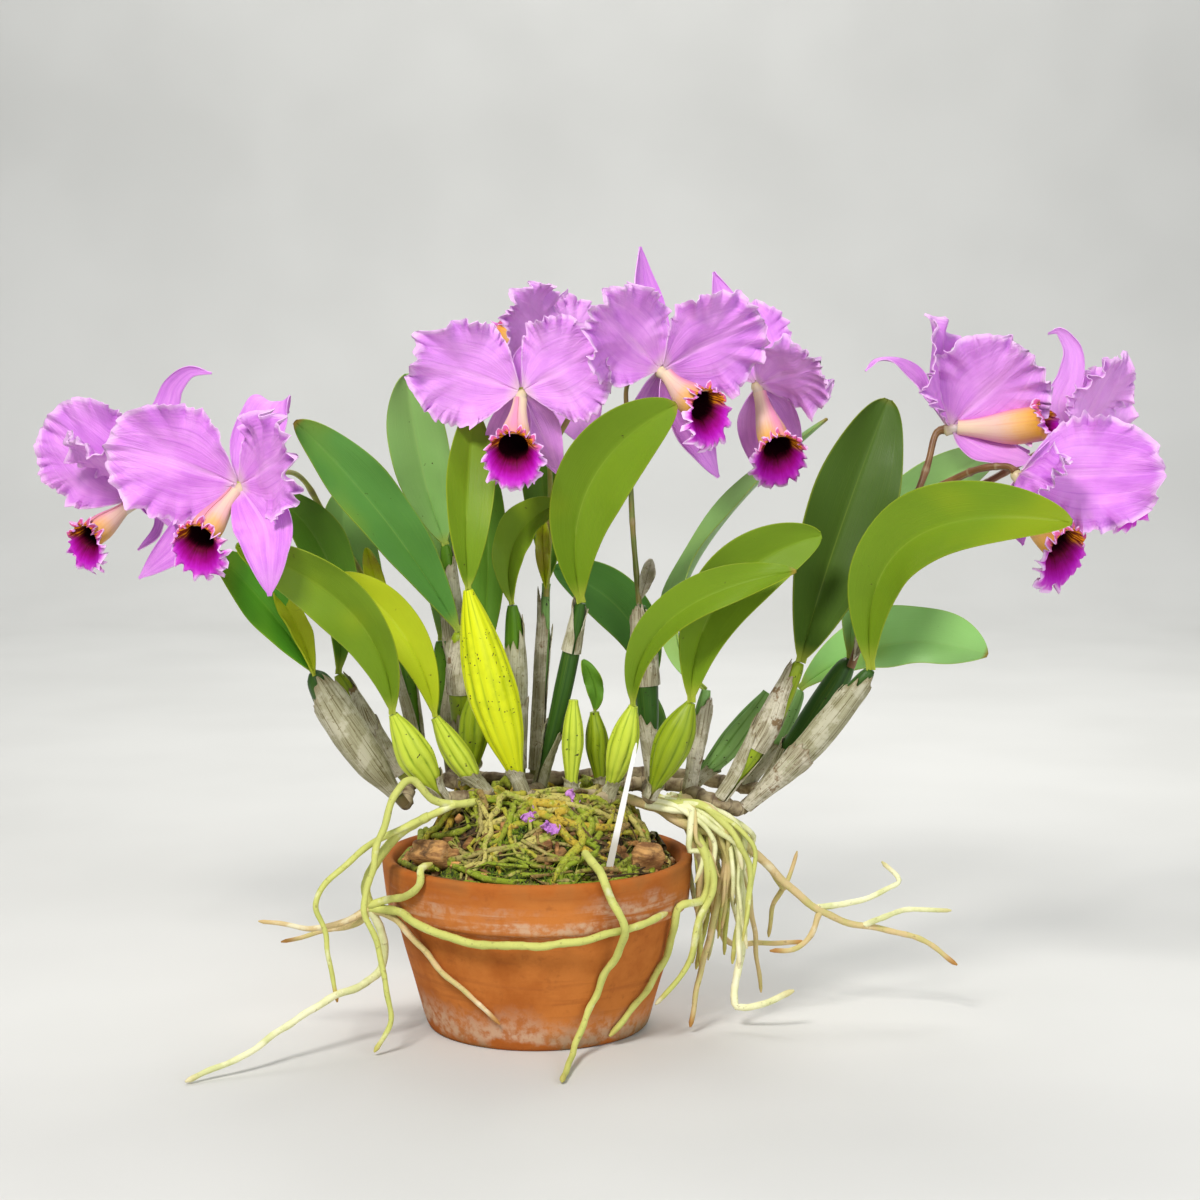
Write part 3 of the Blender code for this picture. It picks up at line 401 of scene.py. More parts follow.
# Partly painted highlight: the margin is paler, nearly white, along the rim, over its own paler tone.
f.coat(f.span(f.stray(edge, crape, 0.16), 0.88, 1.0, 0.0, 0.85), (0.94, 0.64, 0.95))
f.coat(f.times(f.rest(front), 0.25), (0.82, 0.40, 0.86))
folds = f.times(crape, f.span(edge, 0.45, 0.95, 0.15, 2.2))
f.bump(f.math("ADD", f.math("MULTIPLY_ADD", broad, 0.5, veins), folds), 0.55, 0.0015)
PETAL = f.end(0.5, Subsurface_Weight=0.12, Subsurface_Radius=(0.004, 0.0015, 0.004), Specular_IOR_Level=0.15)

# %% [markdown]
# The lip is the showpiece: cream and yellow outside, and inside a throat that is almost black,
# then crimson, magenta, and a pale crimped margin. Its upper edges are orange with brown lines.
# Colour ramps along the tube give those zones. A ramp alone would look like painted rings, so
# noise moves the place at which it is read.
# Mask: the way out along the tube, then 1 at its upper edges and 0 underneath, then in or out.

# %% Lip velvet and column wax
f = Finish("lip velvet")
out, upper, inside = f.masks()[:3]
lines, patch = f.fibres((52, 2.2, 1)), f.noise(260, 2, 0.5)
wander = f.stray(f.stray(out, lines, 0.14), patch, 0.07)
throat = f.ramp(wander, (0.0, (0.012, 0.001, 0.003)), (0.50, (0.016, 0.0, 0.003)), (0.57, (0.11, 0.0, 0.025)),
                (0.68, (0.30, 0.001, 0.20)), (0.79, (0.46, 0.01, 0.45)), (0.88, (0.56, 0.06, 0.56)),
                (0.92, (0.72, 0.24, 0.73)), (0.96, (0.86, 0.54, 0.89)))
gold = f.mix(f.span(lines, 0.46, 0.56), (0.72, 0.24, 0.006), (0.16, 0.015, 0.006))
gold = f.mix(f.span(wander, 0.84, 0.93), gold, (0.62, 0.10, 0.30))
gold = f.mix(f.span(wander, 0.94, 0.98), gold, (0.88, 0.56, 0.88))
golden = f.times(f.span(f.stray(upper, lines, 0.2), 0.44, 0.58), f.span(out, 0.46, 0.56))
inner = f.mix(golden, throat, gold)
seam = f.times(f.span(upper, 0.88, 0.96), f.span(out, 0.66, 0.54))
inner = f.mix(seam, inner, (0.80, 0.56, 0.36))
f.colour = f.ramp(wander, (0.0, (0.78, 0.62, 0.42)), (0.25, (0.80, 0.54, 0.44)), (0.42, (0.82, 0.47, 0.17)),
                  (0.56, (0.82, 0.42, 0.05)), (0.68, (0.80, 0.36, 0.16)), (0.80, (0.64, 0.16, 0.52)),
                  (0.92, (0.72, 0.26, 0.74)), (0.98, (0.88, 0.60, 0.90)))
f.coat(f.times(f.span(upper, 0.72, 1.0), f.span(out, 0.80, 0.3, 0.0, 0.9)), (0.76, 0.26, 0.44))
f.coat(f.times(f.span(upper, 0.3, 0.0), f.span(out, 0.3, 0.6)), (0.66, 0.20, 0.64))
f.coat(f.span(lines, 0.5, 0.7, 0.0, 0.3), (0.66, 0.22, 0.22))
f.coat(inside, inner)
f.bump(lines, 0.3, 0.0008)
LIP = f.end(0.6, Specular_IOR_Level=0.06)

f = Finish("column wax")
f.ground(f.masks()[0], (0.62, 0.50, 0.24), (0.82, 0.74, 0.72))
COLUMN = f.end(0.4, Subsurface_Weight=0.1, Subsurface_Radius=(0.003, 0.002, 0.001))

# %% [markdown]
# Each bloom is a hub with three sepals, two petals and a lip. The table gives for each tepal its
# reach from the hub and the bow of its middle, as the CAD source has them, in millimetres.
# A tepal with more than one place after its reach is one that curls: it follows those places.
# Then come its width, the way it faces and the way its width lies, where they aren't the usual.
# Of the bloom as a whole it gives the hub, the way the face looks as azimuth and elevation, how pale
# it is, the lip's reach, the share of it where the mouth is, and the mouth's look and the column's
# length where they aren't the usual.

# %% Bloom places
BLOOMS = {
    "bloom_1": dict(hub=(-298, 34, 386), face=(-55, -5), pale=0.1, mouth=0.92,
        dorsal=((57, 6, 93), ((6, 16, 30), (22, 16, 68), (28, 14, 83), (41, 9, 94)), 23, (-0.2, -1, 0.1)),
        petals=(((-66, 16, 62), -4, 84, (-0.5, -0.9, 0.2)), ((-34, -44, 46), -3, 76, (-0.7, -0.7, 0.1))),
        lower=(((-5, 34, -41), ((12, 34, -10), (10, 36, -27)), 18), ((34, 44, -30), -4)),
        lip=(-33, -27, -27), look=(-0.56, -0.71, -0.42)),
    "bloom_2": dict(hub=(-206, -70, 404), face=(-35, 0), pale=0.0, mouth=0.92,
        dorsal=((29, 44, 48), ((9, 12, 26), (15, 16, 43), (19, 20, 54), (24, 30, 57)), 36, None, (1, 0, 0.1)),
        petals=(((-95, 14, 28), -5, 86), ((42, -64, 29), -4, 76)),
        lower=(((-76, 22, -68), -5, 34),
               ((26, -48, -73), ((20, -30, -25), (25, -48, -47)), 41, (0, -1, 0.1))),
        lip=(-26, -33, -37), look=(-0.30, -0.80, -0.50)),
    "bloom_3": dict(hub=(-10, -30, 468), face=(0, -5), pale=0.35, mouth=0.82, dorsal=((20, 34, 44), -3),
        petals=(((-76, -24, 24), -5, 78), ((58, -9, 31), -5, 80)),
        lower=(((-24, 26, -72), -4), ((27, 30, -62), -4)), lip=(-6, -34, -46)),
    "bloom_4": dict(hub=(11, 74, 499), face=(-130, 20), pale=0.85, mouth=0.86, dorsal=((10, 44, 42), -3),
        petals=(((-30, -50, 30), -3, 66, (-0.2, -1, 0.4)), ((38, 22, 22), -3, 58, (0.2, -1, 0.3))),
        lower=(((-26, 16, -68), -4), ((28, -10, -78), -4, 48, (0.1, -1, -0.1))), lip=(-40, 42, 10)),
    "bloom_5": dict(hub=(90, -12, 483), face=(42, -5), pale=0.1, mouth=0.78, dorsal=((-15, 15, 88), -4),
        petals=(((-45, -50, 46), -4, 76, (0.2, -1, 0.1)), ((74, 8, 34), -5, 82)),
        lower=(((-26, 30, -62), -4), ((42, 6, -78), -4, 35)), lip=(37, -35, -31)),
    "bloom_6": dict(hub=(163, 54, 470), face=(15, -25), pale=0.3, mouth=0.9, dorsal=((-32, 18, 84), -4),
        petals=(((-18, 16, 62), -3, 72), ((44, -34, 14), -3, 78)),
        lower=(((2, 16, -66), -4), ((36, 32, -56), -4)), lip=(16, -27, -50)),
    "bloom_7": dict(hub=(305, 38, 439), face=(80, 25), pale=0.3, mouth=1.0, column=9,
        dorsal=((-63, 0, 42), ((-16, 6, 22), (-22, 7, 34), (-32, 8, 43), (-44, 7, 49), (-55, 4, 49)),
                15, (0.5, -0.5, 0.8)),
        petals=(((-14, -24, 80), -4, 60, (0.85, -0.45, 0.2)), ((54, -30, 54), -4, 94, (0.25, -0.95, 0.1))),
        lower=(((58, -34, -24), -8, 31, (0.2, -0.8, 0.6)), ((66, 40, -20), -8)),
        lip=(64, -20, 5), look=(0.90, -0.38, 0.22)),
    "bloom_8": dict(hub=(345, -30, 409), face=(40, -25), pale=0.0, mouth=0.88, dorsal=((60, 24, 28), -4),
        petals=(((15, -56, -4), -3, 54), ((100, -18, 2), -6, 84, (0.15, -1, 0.1))),
        lower=(((10, 34, -54), -4), ((50, 38, -70), -4)), lip=(31, -24, -54)),
    "bloom_9": dict(hub=(409, 86, 424), face=(110, 0), pale=0.7, mouth=0.84,
        dorsal=((-27, -14, 84), ((-18, -16, 28), (-10, -14, 50), (-7.5, -12, 68), (-12, -12, 79),
                                 (-19, -13, 86)), 22, (0, -1, 0)),
        petals=(((26, -30, 66), -4, 54, (0.5, -0.8, 0)), ((44, 46, 42), -4, 76, (0.5, -0.8, 0.1))),
        lower=(((-24, -38, -62), -3), ((-17, 48, -58), -3)), lip=(46, -14, -40), look=(0.45, -0.65, -0.60)),
}
TEPAL_SHEET = 0.6
LIP_SHEET = 0.6
SEPAL_WIDTH = 31
PETAL_GRID, SEPAL_GRID, LIP_GRID = (64, 55), (40, 15), (44, 121)
print("blooms:", len(BLOOMS))

# %% [markdown]
# A blade is a midline, a width along it and a lift out of its face. The same three steps make
# petals, sepals and, further on, leaves, so their midline and frame are functions of their own.


# %% Outlines of petals and sepals
def blade_frame(line, face, side=None):
    """Across and out of a blade at each row: across is along times the way it faces, or as near
    the given side as the line allows."""
    along = unit(np.gradient(line, axis=0))
    if side is None:
        across = unit(np.cross(along, face))
    else:
        across = unit(side - along * (along @ np.asarray(side, float))[:, None])
    return across, np.cross(across, along)


def petal_width(u):
    """Half width over its greatest: a short claw that opens as a sine to 0.46, then a round end."""
    rise, fall = np.clip(u / 0.46, 0, 1), np.clip((u - 0.46) / 0.54, 0, 1)
    round_end = np.maximum(1 - fall ** 2.5, 0) ** 0.5 * 0.84 + 0.16 * (1 - fall) + 0.10 * fall
    return np.where(u < 0.46, 0.09 + 0.91 * np.sin(np.pi / 2 * rise), np.minimum(round_end, 1.0))


def sepal_width(u):
    """Half width over its greatest: a lance, the sine of pi u^0.8, with a pointed tip."""
    lance = np.maximum(np.sin(np.pi * np.clip(u, 0, 1) ** 0.8), 0) ** 0.85
    return np.maximum(np.maximum(lance, 0.2 * (1 - u)), 0.06 * u)


def tepal_line(hub, reach, bulge, face, u):
    """From the hub's edge through the given places, or bowed out of its face at the middle."""
    reach = np.asarray(reach, float)
    start = hub + unit(reach) * 2.5
    if np.ndim(bulge):
        return spine([start, *(hub + np.asarray(place) for place in bulge), hub + reach], len(u))
    out = unit(face - reach * (face @ reach) / (reach @ reach))
    return bow(start, hub + reach / 2 + out * bulge, hub + reach, u)


share = np.linspace(0, 1, 101)
for kind, outline in (("petal", petal_width), ("sepal", sepal_width)):
    print("a", kind, "is widest at", share[outline(share).argmax()], "of its length")


# %% [markdown]
# A petal's edge is ruffled. The ruffles are sines and noise of the angle round the blade, so that
# they run out to the margin from its middle, as the real folds do. A cloth simulation could
# ruffle it too, but a number here changes one fold and leaves the others. A sepal is smoother.


# %% Petals and sepals
def petal(shells, hub, face, tint, number, seed, reach, bulge, width, look=None):
    """A blade whose edge waves: out of its face by broad sines times the cube of the way out, and
    by ruffles and crimps that depend only on the angle round the blade, times the margin's nearness.

    The margin's nearness is the sixth root of across^6 + along^9, so it is 1 all round the edge."""
    look = face if look is None else np.asarray(look, float)
    rows, columns = PETAL_GRID
    u, s = 1 - (1 - np.linspace(0, 1, rows)) ** 1.3, np.linspace(-1, 1, columns)
    line = tepal_line(hub, reach, bulge, look, u)
    across, out = blade_frame(line, look)
    uu, vv = np.meshgrid(u, 0.55 * s + 0.45 * np.sin(np.pi / 2 * s), indexing="ij")
    half = (width / 2 * petal_width(u))[:, None]
    edge = np.minimum((np.abs(vv) ** 6 + uu ** 9) ** (1 / 6), 1)
    forward, sideways = (uu - 0.42) * np.linalg.norm(reach), half * vv
    angle = np.arctan2(sideways, forward)
    free = ease(0.06, 0.34, uu)
    wave = 5.0 * np.sin(2 * np.pi * 1.6 * uu + 2.2 * number + 0.9 * (vv > 0)) * np.minimum(uu * 3, 1)
    ruffle = grain(angle, 0.50, seed) * 5.0 * edge ** 4 * free
    crimp = grain(angle + 0.1 * edge, 0.19, seed + 1) * 1.9 * ease(0.66, 1.0, edge) * free
    groove = -1.3 * np.exp(-(vv / 0.045) ** 2) * (1 - 0.7 * uu)
    swell = grain(np.stack([uu * 60, vv * 40], -1), 34, seed + 2) * 1.8 * (1 - edge ** 2) * free
    lift = 0.10 * half * vv ** 2 + wave * np.abs(vv) ** 3 + ruffle + crimp + groove + swell
    nibble = grain(angle, 0.12, seed + 3) * 0.8 + grain(angle, 0.3, seed + 4) * 1.8
    nibble = nibble * ease(0.7, 1.0, edge) * free
    way = unit(np.stack([forward, sideways], -1) + 1e-6)
    middle = beside(line, (across, half * vv + nibble * way[..., 1]), (out, lift),
                    (np.cross(across, out), nibble * way[..., 0]))
    # The last mask is the ruffles' lift. The petal skin paints shade where the ruffles dip back.
    mask = channels(edge, uu, 0, 0.5 + (ruffle + crimp) / 14)
    sheet(shells, middle, TEPAL_SHEET * (1.25 - 0.5 * edge), mask, tint)


def sepal(shells, hub, face, tint, seed, reach, bulge, width=SEPAL_WIDTH, look=None, side=None):
    """A lance that is a shallow keel: out of its face by a quarter of its half width times across
    squared, with a groove down its middle and slow waves."""
    look = face if look is None else np.asarray(look, float)
    u, v = (np.linspace(low, 1, count) for low, count in zip((0, -1), SEPAL_GRID))
    line = tepal_line(hub, reach, bulge, look, u)
    across, out = blade_frame(line, look, side)
    uu, vv = np.meshgrid(u, v, indexing="ij")
    half = (width / 2 * sepal_width(u))[:, None]
    lift = (0.25 * half * vv ** 2 - 0.8 * np.exp(-(vv / 0.12) ** 2) * (1 - uu)
            + grain(uu * 4 + vv * 0.6, 2.2, seed) * 1.4 * np.abs(vv))
    edge = np.maximum(np.abs(vv) ** 4, uu ** 14) * 0.94
    sheet(shells, beside(line, (across, half * vv), (out, lift)), TEPAL_SHEET * 1.3,
          channels(edge, uu, 0, 0.5), tint)


# %% [markdown]
# The lip could be a cone with a frill, but its tube curves and its flare is lopsided. A grid of
# way out by angle takes both: the axis bends, and the radius and the way ahead depend on both.


# %% Lips
def lip(shells, plan):
    """Its axis curves from the way it leaves the hub to the way its mouth looks. Round it the
    sheet is rolled a little more than once, so its edges overlap on top. First it is a tube, then
    it flares: least at the top and most at the bottom, while the flare moves ahead by
    1 - (1 - x)^2. The margin frills by noise of the angle, out along the axis and from it."""
    hub, reach = (np.asarray(plan[key], float) for key in ("hub", "lip"))
    bulk = np.linalg.norm(reach) / 56
    look = unit(np.asarray(plan.get("look", toward(*plan["face"]) + unit(reach) * 0.5), float))
    start, mouth = hub + unit(reach) * 6, hub + reach * plan["mouth"]
    bend = mouth - look * np.linalg.norm(mouth - start) * 0.45
    seed = int(abs(plan["hub"][0]))
    s = np.linspace(0, 1, LIP_GRID[0])
    t = np.clip(s / 0.56, 0, 1)[:, None]
    line = (1 - t) ** 2 * start + 2 * t * (1 - t) * bend + t ** 2 * mouth
    tangent = unit((1 - t) * (bend - start) + t * (mouth - bend))
    across = unit(np.cross(tangent, UP))
    down = np.cross(tangent, across)
    ss, k = np.meshgrid(s, np.linspace(-1, 1, LIP_GRID[1]), indexing="ij")
    tt = k * np.radians(194 - 24 * ease(0.5, 0.9, ss))
    x = np.clip((ss - 0.56) / 0.44, 0, 1)
    c = np.cos(tt)
    rim = (19.0 + 8.0 * c + 1.5 * c ** 2) * bulk
    pipe = (4.4 + 6.2 * ease(0.0, 0.40, ss)) * bulk * (1 + 0.05 * c) + 0.55 * k ** 3
    margin = ease(0.80, 1.0, ss)
    radius = pipe + (rim - pipe) * x ** 0.85
    radius = radius + margin * (grain(tt, 0.50, seed) * 2.2 + grain(tt, 0.25, seed + 1) * 1.8)
    ahead = (6.5 + 5.5 * c) * bulk * (1 - (1 - x) ** 2) - 3.0 * ease(0.88, 1.0, ss)
    ahead = ahead + margin * (grain(tt, 0.45, seed + 2) * 3.4 + grain(tt, 0.24, seed + 3) * 2.4)
    tt = tt + margin * grain(tt, 0.28, seed + 4) * 0.05
    middle = beside(line, (down, np.cos(tt) * radius), (across, np.sin(tt) * radius), (tangent, ahead))
    mask = channels(ss, np.abs(tt) / np.pi)
    sheet(shells, middle[:, ::-1], LIP_SHEET, mask[:, ::-1], WHITE)


# %% [markdown]
# The column is the bloom's small waxy club. It lies in the mouth of the tube, so a short tube
# along the lip's way is enough. All the tepals and the column of a bloom are one piece.

# %% Nine blooms
for name, plan in BLOOMS.items():
    hub, face = np.asarray(plan["hub"], float), toward(*plan["face"])
    seed, tint, flower = 10 * int(name[-1]), (plan["pale"], 0, 0), Shells()
    for number, tepal in enumerate([plan["dorsal"], *plan["lower"]]):
        sepal(flower, hub, face, tint, seed + number, *tepal)
    for number, tepal in enumerate(plan["petals"]):
        petal(flower, hub, face, tint, number, seed + 40 + 7 * number, *tepal)
    grow = np.linspace(0, 1, 14)
    far = unit(np.asarray(plan["lip"], float)) * plan.get("column", 24)
    thick = np.interp(grow, (0, 0.12, 0.3, 0.75, 0.93, 1), (2.5, 4.6, 4.0, 3.6, 3.4, 1.2))
    tube(flower, hub - face * 5 + np.outer(grow, far + face * 3), thick, 14, channels(grow[:, None]), tint, 1)
    flower.piece(name + "_tepals", [PETAL, COLUMN], name, "petal")
    horn, own_lip = Shells(), name.replace("bloom", "lip")
    lip(horn, plan)
    horn.piece(own_lip + "_frill", [LIP], own_lip, "lip")

# %% [markdown]
# A shoot is a storage bulb and mostly one leaf on top of it. The table keeps what the CAD has for
# each shoot: the bulb's foot and top, its radius and number of ribs, 0 for a smooth one, then the
# leaf's bend, tip, width and facing. It adds the colour of the leaf and of the bulb, and between
# which shares of the bulb's height each dry sheath covers it.

# %% Shoot places
OLIVE, MID = (0.145, 0.24, 0.001), (0.085, 0.21, 0.008)
DARK, BLUISH, GREYISH = (0.042, 0.09, 0.001), (0.085, 0.25, 0.04), (0.25, 0.46, 0.13)
MINT, VIVID, DEEP = (0.31, 0.60, 0.18), (0.09, 0.34, 0.012), (0.035, 0.10, 0.012)
GOLDEN, LIME, YELLOW = (0.66, 0.72, 0.008), (0.52, 0.62, 0.05), (0.42, 0.49, 0.005)
MOSSY_GREEN = (0.26, 0.35, 0.012)
SHOOTS = {
    "1": ((-97, -10, 165), (-161, -30, 266), 15, 0,
      ((-190, -40, 312), (-228, -60, 359), 40, (0.3, -0.9, 0.3)), VIVID, DEEP, ((0.08, 0.98),)),
    "2": ((-95, 20, 175.4), (-148, 20, 257), 9, 0,
      ((-157, 25, 342), (-197, 10, 395), 40, (0.3, -0.9, 0.3)), MID, MOSSY_GREEN, ((0.1, 0.6), (0.45, 1.0))),
    "3": ((-66, -42, 175.4), (-101, -60, 240), 13, 9,
      ((-129, -80, 317), (-206, -110, 369), 43, (-0.1, -1, 0.1)), OLIVE, LIME, ((0, 0.36),)),
    "4": ((-36, -25, 175.4), (-73, -30, 233), 10, 8,
      ((-98, -30, 297), (-144, -30, 340), 34, (0.2, -1, 0.2)), YELLOW, LIME, ((0, 0.34),)),
    "5": ((-54, 20, 175.4), (-58, 10, 290), 11, 0,
      ((-110, 0, 377), (-172, -30, 451), 46, (0.2, -1, 0.3)), BLUISH, MOSSY_GREEN, ((0, 0.55), (0.6, 1.06))),
    "6": ((-51, 0, 175.4), (-43, -5, 253), 12, 8,
      ((-37, 30, 335), (-38, 42, 422), 30, (0, -1, 0.2)), MID, MOSSY_GREEN, ((0, 0.28),)),
    "7": ((-86, 38, 176), (-106, 55, 279), 8, 0,
      ((-142, 60, 339), (-145, 60, 399), 45, (0.3, -1, 0.2)), GREYISH, MID, ((0.1, 1.1),)),
    "8": ((-9, -36, 175.4), (-48, -50, 328), 18, 12,
      ((-50, -42, 391), (-47, -5, 457), 38, (0.3, -1, 0.1)), OLIVE, GOLDEN, ((0, 0.16),)),
    "9": ((-13, 10, 175.4), (-18, 0, 311), 9, 0,
      ((-16, 0, 363), (16, -15, 391), 32, (-0.2, -1, 0.4)), OLIVE, MID, ((0.1, 0.5), (0.3, 0.95))),
    "10": ((1, 3, 175.4), (32, -10, 314), 8, 0,
       ((39, -27, 404), (101, -53, 464), 58, (0.1, -1, 0.1)), OLIVE, DEEP, ((0, 0.42), (0.74, 1.04))),
    "11": ((25, -30, 175.4), (27, -32, 246), 8, 8, None, OLIVE, LIME, ((0, 0.2),)),
    "12": ((47, -10, 175.4), (42, -10, 234), 9, 8,
       ((42, -11, 256), (33, -10, 277), 14, (0, -1, 0.2)), MID, MOSSY_GREEN, ((0, 0.2),)),
    "13": ((52, -33, 175.4), (70, -40, 243), 11, 9,
       ((98, -61, 313), (184, -84, 349), 34, (-0.3, -1, 0.5)), OLIVE, LIME, ((0, 0.24),)),
    "14": ((82, -35, 175.4), (111, -45, 246), 14, 9,
       ((135, -46, 328), (205, -48, 371), 52, (0.1, -1, 0.2)), OLIVE, MOSSY_GREEN, ((0, 0.18),)),
    "15": ((85, 20, 175.4), (76, 25, 308), 11, 0, None, OLIVE, DEEP, ((0, 0.4), (0.55, 1.02))),
    "16": ((112, 0, 174), (124, 5, 248), 7, 0,
       ((113, 48, 332), (221, 110, 447), 34, (-0.85, -0.35, 0.5)), GREYISH, GREYISH, ((0, 0.95),)),
    "17": ((113, 14, 174), (170, 20, 244), 10, 8, None, OLIVE, GREYISH, ((0, 0.3),)),
    "18": ((132, -15, 168), (191, -15, 271), 10, 0,
       ((219, -8, 361), (258, 10, 465), 68, (0.1, -1, 0.1)), DARK, MOSSY_GREEN, ((0.03, 0.6), (0.4, 1.0))),
    "19": ((150, -5, 160), (241, -32, 268), 11, 0,
       ((266, -62, 366), (370, -124, 385), 58, (-0.2, -1, 0.4)), OLIVE, DEEP, ((0.03, 0.5), (0.3, 0.98))),
    "20": ((-52, 44, 175.4), (-69, 36, 352), 9, 0,
       ((-86, 24, 416), (-96, 14, 484), 48, (0.2, -1, 0.1)), GREYISH, MID, ((0.3, 0.7), (0.6, 1.0))),
    "21": ((-68, 66, 175.4), (-75, 68, 276), 9, 0,
       ((-82, 72, 368), (-106, 90, 461), 37, (0.2, -1, 0.1)), GREYISH, MID, ((0.2, 1.0),)),
    "22": ((-3, 38, 175.4), (6, 40, 323), 5.5, 0,
       ((5, 56, 385), (-8, 62, 455), 34, (0.1, -1, 0.1)), MID, GREYISH, ((0.05, 1.0),)),
    "23": ((92, 60, 175.4), (84, 70, 238), 10, 8,
       ((65, 80, 298), (10, 80, 335), 45, (0.1, -1, 0.3)), BLUISH, MID, ((0, 0.5),)),
    "24": ((156, 50, 167), (198, 70, 238), 10, 0,
       ((267, 75, 276), (341, 60, 270), 56, (0, -0.8, 0.6)), MINT, GREYISH, ((0, 0.6),)),
    "25": ((166, 32, 167), (232, 32, 267), 13, 0,
       ((265, 64, 361), (356, 108, 423), 47, (0, -1, 0.3)), MINT, DEEP, ((0, 0.4),)),
}
RHIZOMES = {"left": ("3", "4", "6", "5", "7", "2", "1"), "centre": ("9", "10", "8", "11", "13", "12"),
            "right": ("14", "15", "17", "16", "18", "19"), "back": ("21", "20", "22", "23", "24", "25")}

# %% [markdown]
# Leaf skin: a tint from the table, long parallel veins, a pale midrib and edge, old scars, and a
# yellower underside. The gloss is uneven, because the wax is. A painted picture would do too, but
# noise in the blade's UV follows every leaf, however it bends.
# Mask: nothing, the way out from the base, front or back, and the leaf's age.

# %% Leaf skin
f = Finish("leaf skin")
out, front, aged = f.masks()[1:]
veins, cloud, pale, spots = f.fibres((70, 1.1, 1)), f.noise(22, 4), f.noise(9, 2, 0.5), f.noise(210, 2, 0.5)
side = f.math("ABSOLUTE", f.math("SUBTRACT", f.coordinates("UV", 0), 0.5))
green = f.tint()
light = f.mix(1.0, green, (0.045, 0.055, 0.0), "ADD")
f.ground(f.span(cloud, 0.35, 0.7, 0.0, 0.6), green, (0.66, 0.72, 0.6), "MULTIPLY")
f.coat(f.span(veins, 0.5, 0.72, 0.0, 0.45), light)
f.coat(f.span(side, 0.30, 0.0, 0.0, 0.25), light)
f.coat(f.times(f.span(side, 0.014, 0.003), f.span(out, 1.0, 0.2, 0.1, 0.5)), (0.40, 0.48, 0.06))
f.coat(f.span(side, 0.480, 0.494, 0.0, 0.6), (0.38, 0.44, 0.02))
f.coat(f.times(f.rest(front), 0.6), f.mix(1.0, green, (0.03, 0.045, 0.02), "ADD"))
f.coat(f.span(out, 0.10, 0.0, 0.0, 0.7), (0.42, 0.46, 0.06))
f.coat(f.times(f.span(pale, 0.58, 0.72), 0.3), (0.40, 0.44, 0.01))
f.coat(f.times(f.span(spots, 0.71, 0.75), f.span(cloud, 0.52, 0.62)), (0.05, 0.035, 0.01))
f.coat(f.times(f.span(out, 0.975, 1.0), f.span(aged, 0.6, 0.8)), (0.30, 0.22, 0.03))
f.bump(f.math("ADD", veins, f.times(cloud, 0.7)), 0.22, 0.0012)
LEAF = f.end(f.span(cloud, 0.3, 0.7, 0.34, 0.5), Specular_IOR_Level=0.14, Subsurface_Weight=0.06,
             Subsurface_Radius=(0.001, 0.003, 0.0005))

# %% [markdown]
# A leaf is a strap folded along its midrib like a channel. It rises from its bulb, bends and ends
# round. A bent plane with a thickness modifier could make one, but then each leaf would have to be
# bent by hand. Here its three places on the plant bend it, with the same formula for all.


# %% Leaves
def leaf_width(u):
    """Half width over its greatest: the root of the sine of pi u^1.36, so it is widest at 0.6."""
    strap = np.maximum(np.sin(np.pi * np.clip(u, 0, 1) ** 1.36), 0) ** 0.515
    return np.maximum(np.maximum(strap, 0.14 * (1 - u)), 0.10 * u)


def leaf_surface(base, bend, tip, width, face, fold, seed, rows=48, columns=17):
    """Each half of the blade rises from the midrib as the 1.3rd power of the way across, by the
    fold's angle, steepest at the base. Slow waves lift the edges, and the midrib is a groove."""
    u = 0.5 - 0.5 * np.cos(np.pi * np.linspace(0.12, 1, rows))
    u = (u - u[0]) / (1 - u[0])
    line = bow(base, bend, tip, u)
    across, out = blade_frame(line, np.asarray(face, float))
    uu, vv = np.meshgrid(u, np.linspace(-1, 1, columns), indexing="ij")
    half = (width / 2 * leaf_width(u))[:, None]
    angle = np.radians(fold * (0.78 + 0.8 * (1 - uu) ** 3))
    lift = half * np.abs(vv) ** 1.3 * np.sin(angle)
    lift = lift + grain(uu * 5 + vv * 0.5, 2.4, seed) * 2.0 * vv ** 2 * ease(0.15, 0.5, uu)
    lift = lift - 0.9 * np.exp(-(vv / 0.09) ** 2) * (1 - 0.6 * uu)
    return beside(line, (across, half * vv * np.cos(angle * 0.8)), (out, lift)), uu, vv


LEAF_SLIDE = 4.6              # how far down its bulb's axis the CAD seats each leaf
LEAF_FOLD, YOUNG_FOLD = 34, 40
for key, (foot, top, _, _, blade, tone, *_) in SHOOTS.items():
    if blade:
        bend, tip, width, face = blade
        axis = unit(np.subtract(top, foot))
        slide = axis * LEAF_SLIDE
        middle, uu, vv = leaf_surface(top + axis * 0.5, bend - slide, tip - slide, width, face,
                                      LEAF_FOLD, int(key))
        fresh = Shells()
        sheet(fresh, middle, 2.2 - 1.2 * vv ** 2 - 0.4 * uu, channels(0, uu, 0, int(key) * 0.37 % 1), tone)
        fresh.piece(f"leaf_{key}_blade", [LEAF], "leaf_" + key, "leaf")
young = Shells()
middle, uu, vv = leaf_surface((-160, -34, 264), (-171, -38, 300), (-187, -40, 326), 19, (0.4, -0.9, 0.2),
                              YOUNG_FOLD, 3, 30, 11)
sheet(young, middle, 1.2, channels(0, uu), YELLOW)
young.piece("young_sheath_left", [LEAF], None, "leaf")

# %% [markdown]
# Storage bulbs are spindles with furrows between rounded ribs, with painted shade darker down in the
# furrows. Dry, fibrous sheaths wrap the older ones, and both stand on a creeping rhizome with rings.
# The painted shade of the furrows could be baked from the shape, but the formula of the ribs hands it
# over for free.
# Mask of the bulb: how high on a rib, and how far up. Of the sheath: how far up, and last its own
# age. Of the rhizome: its rings.

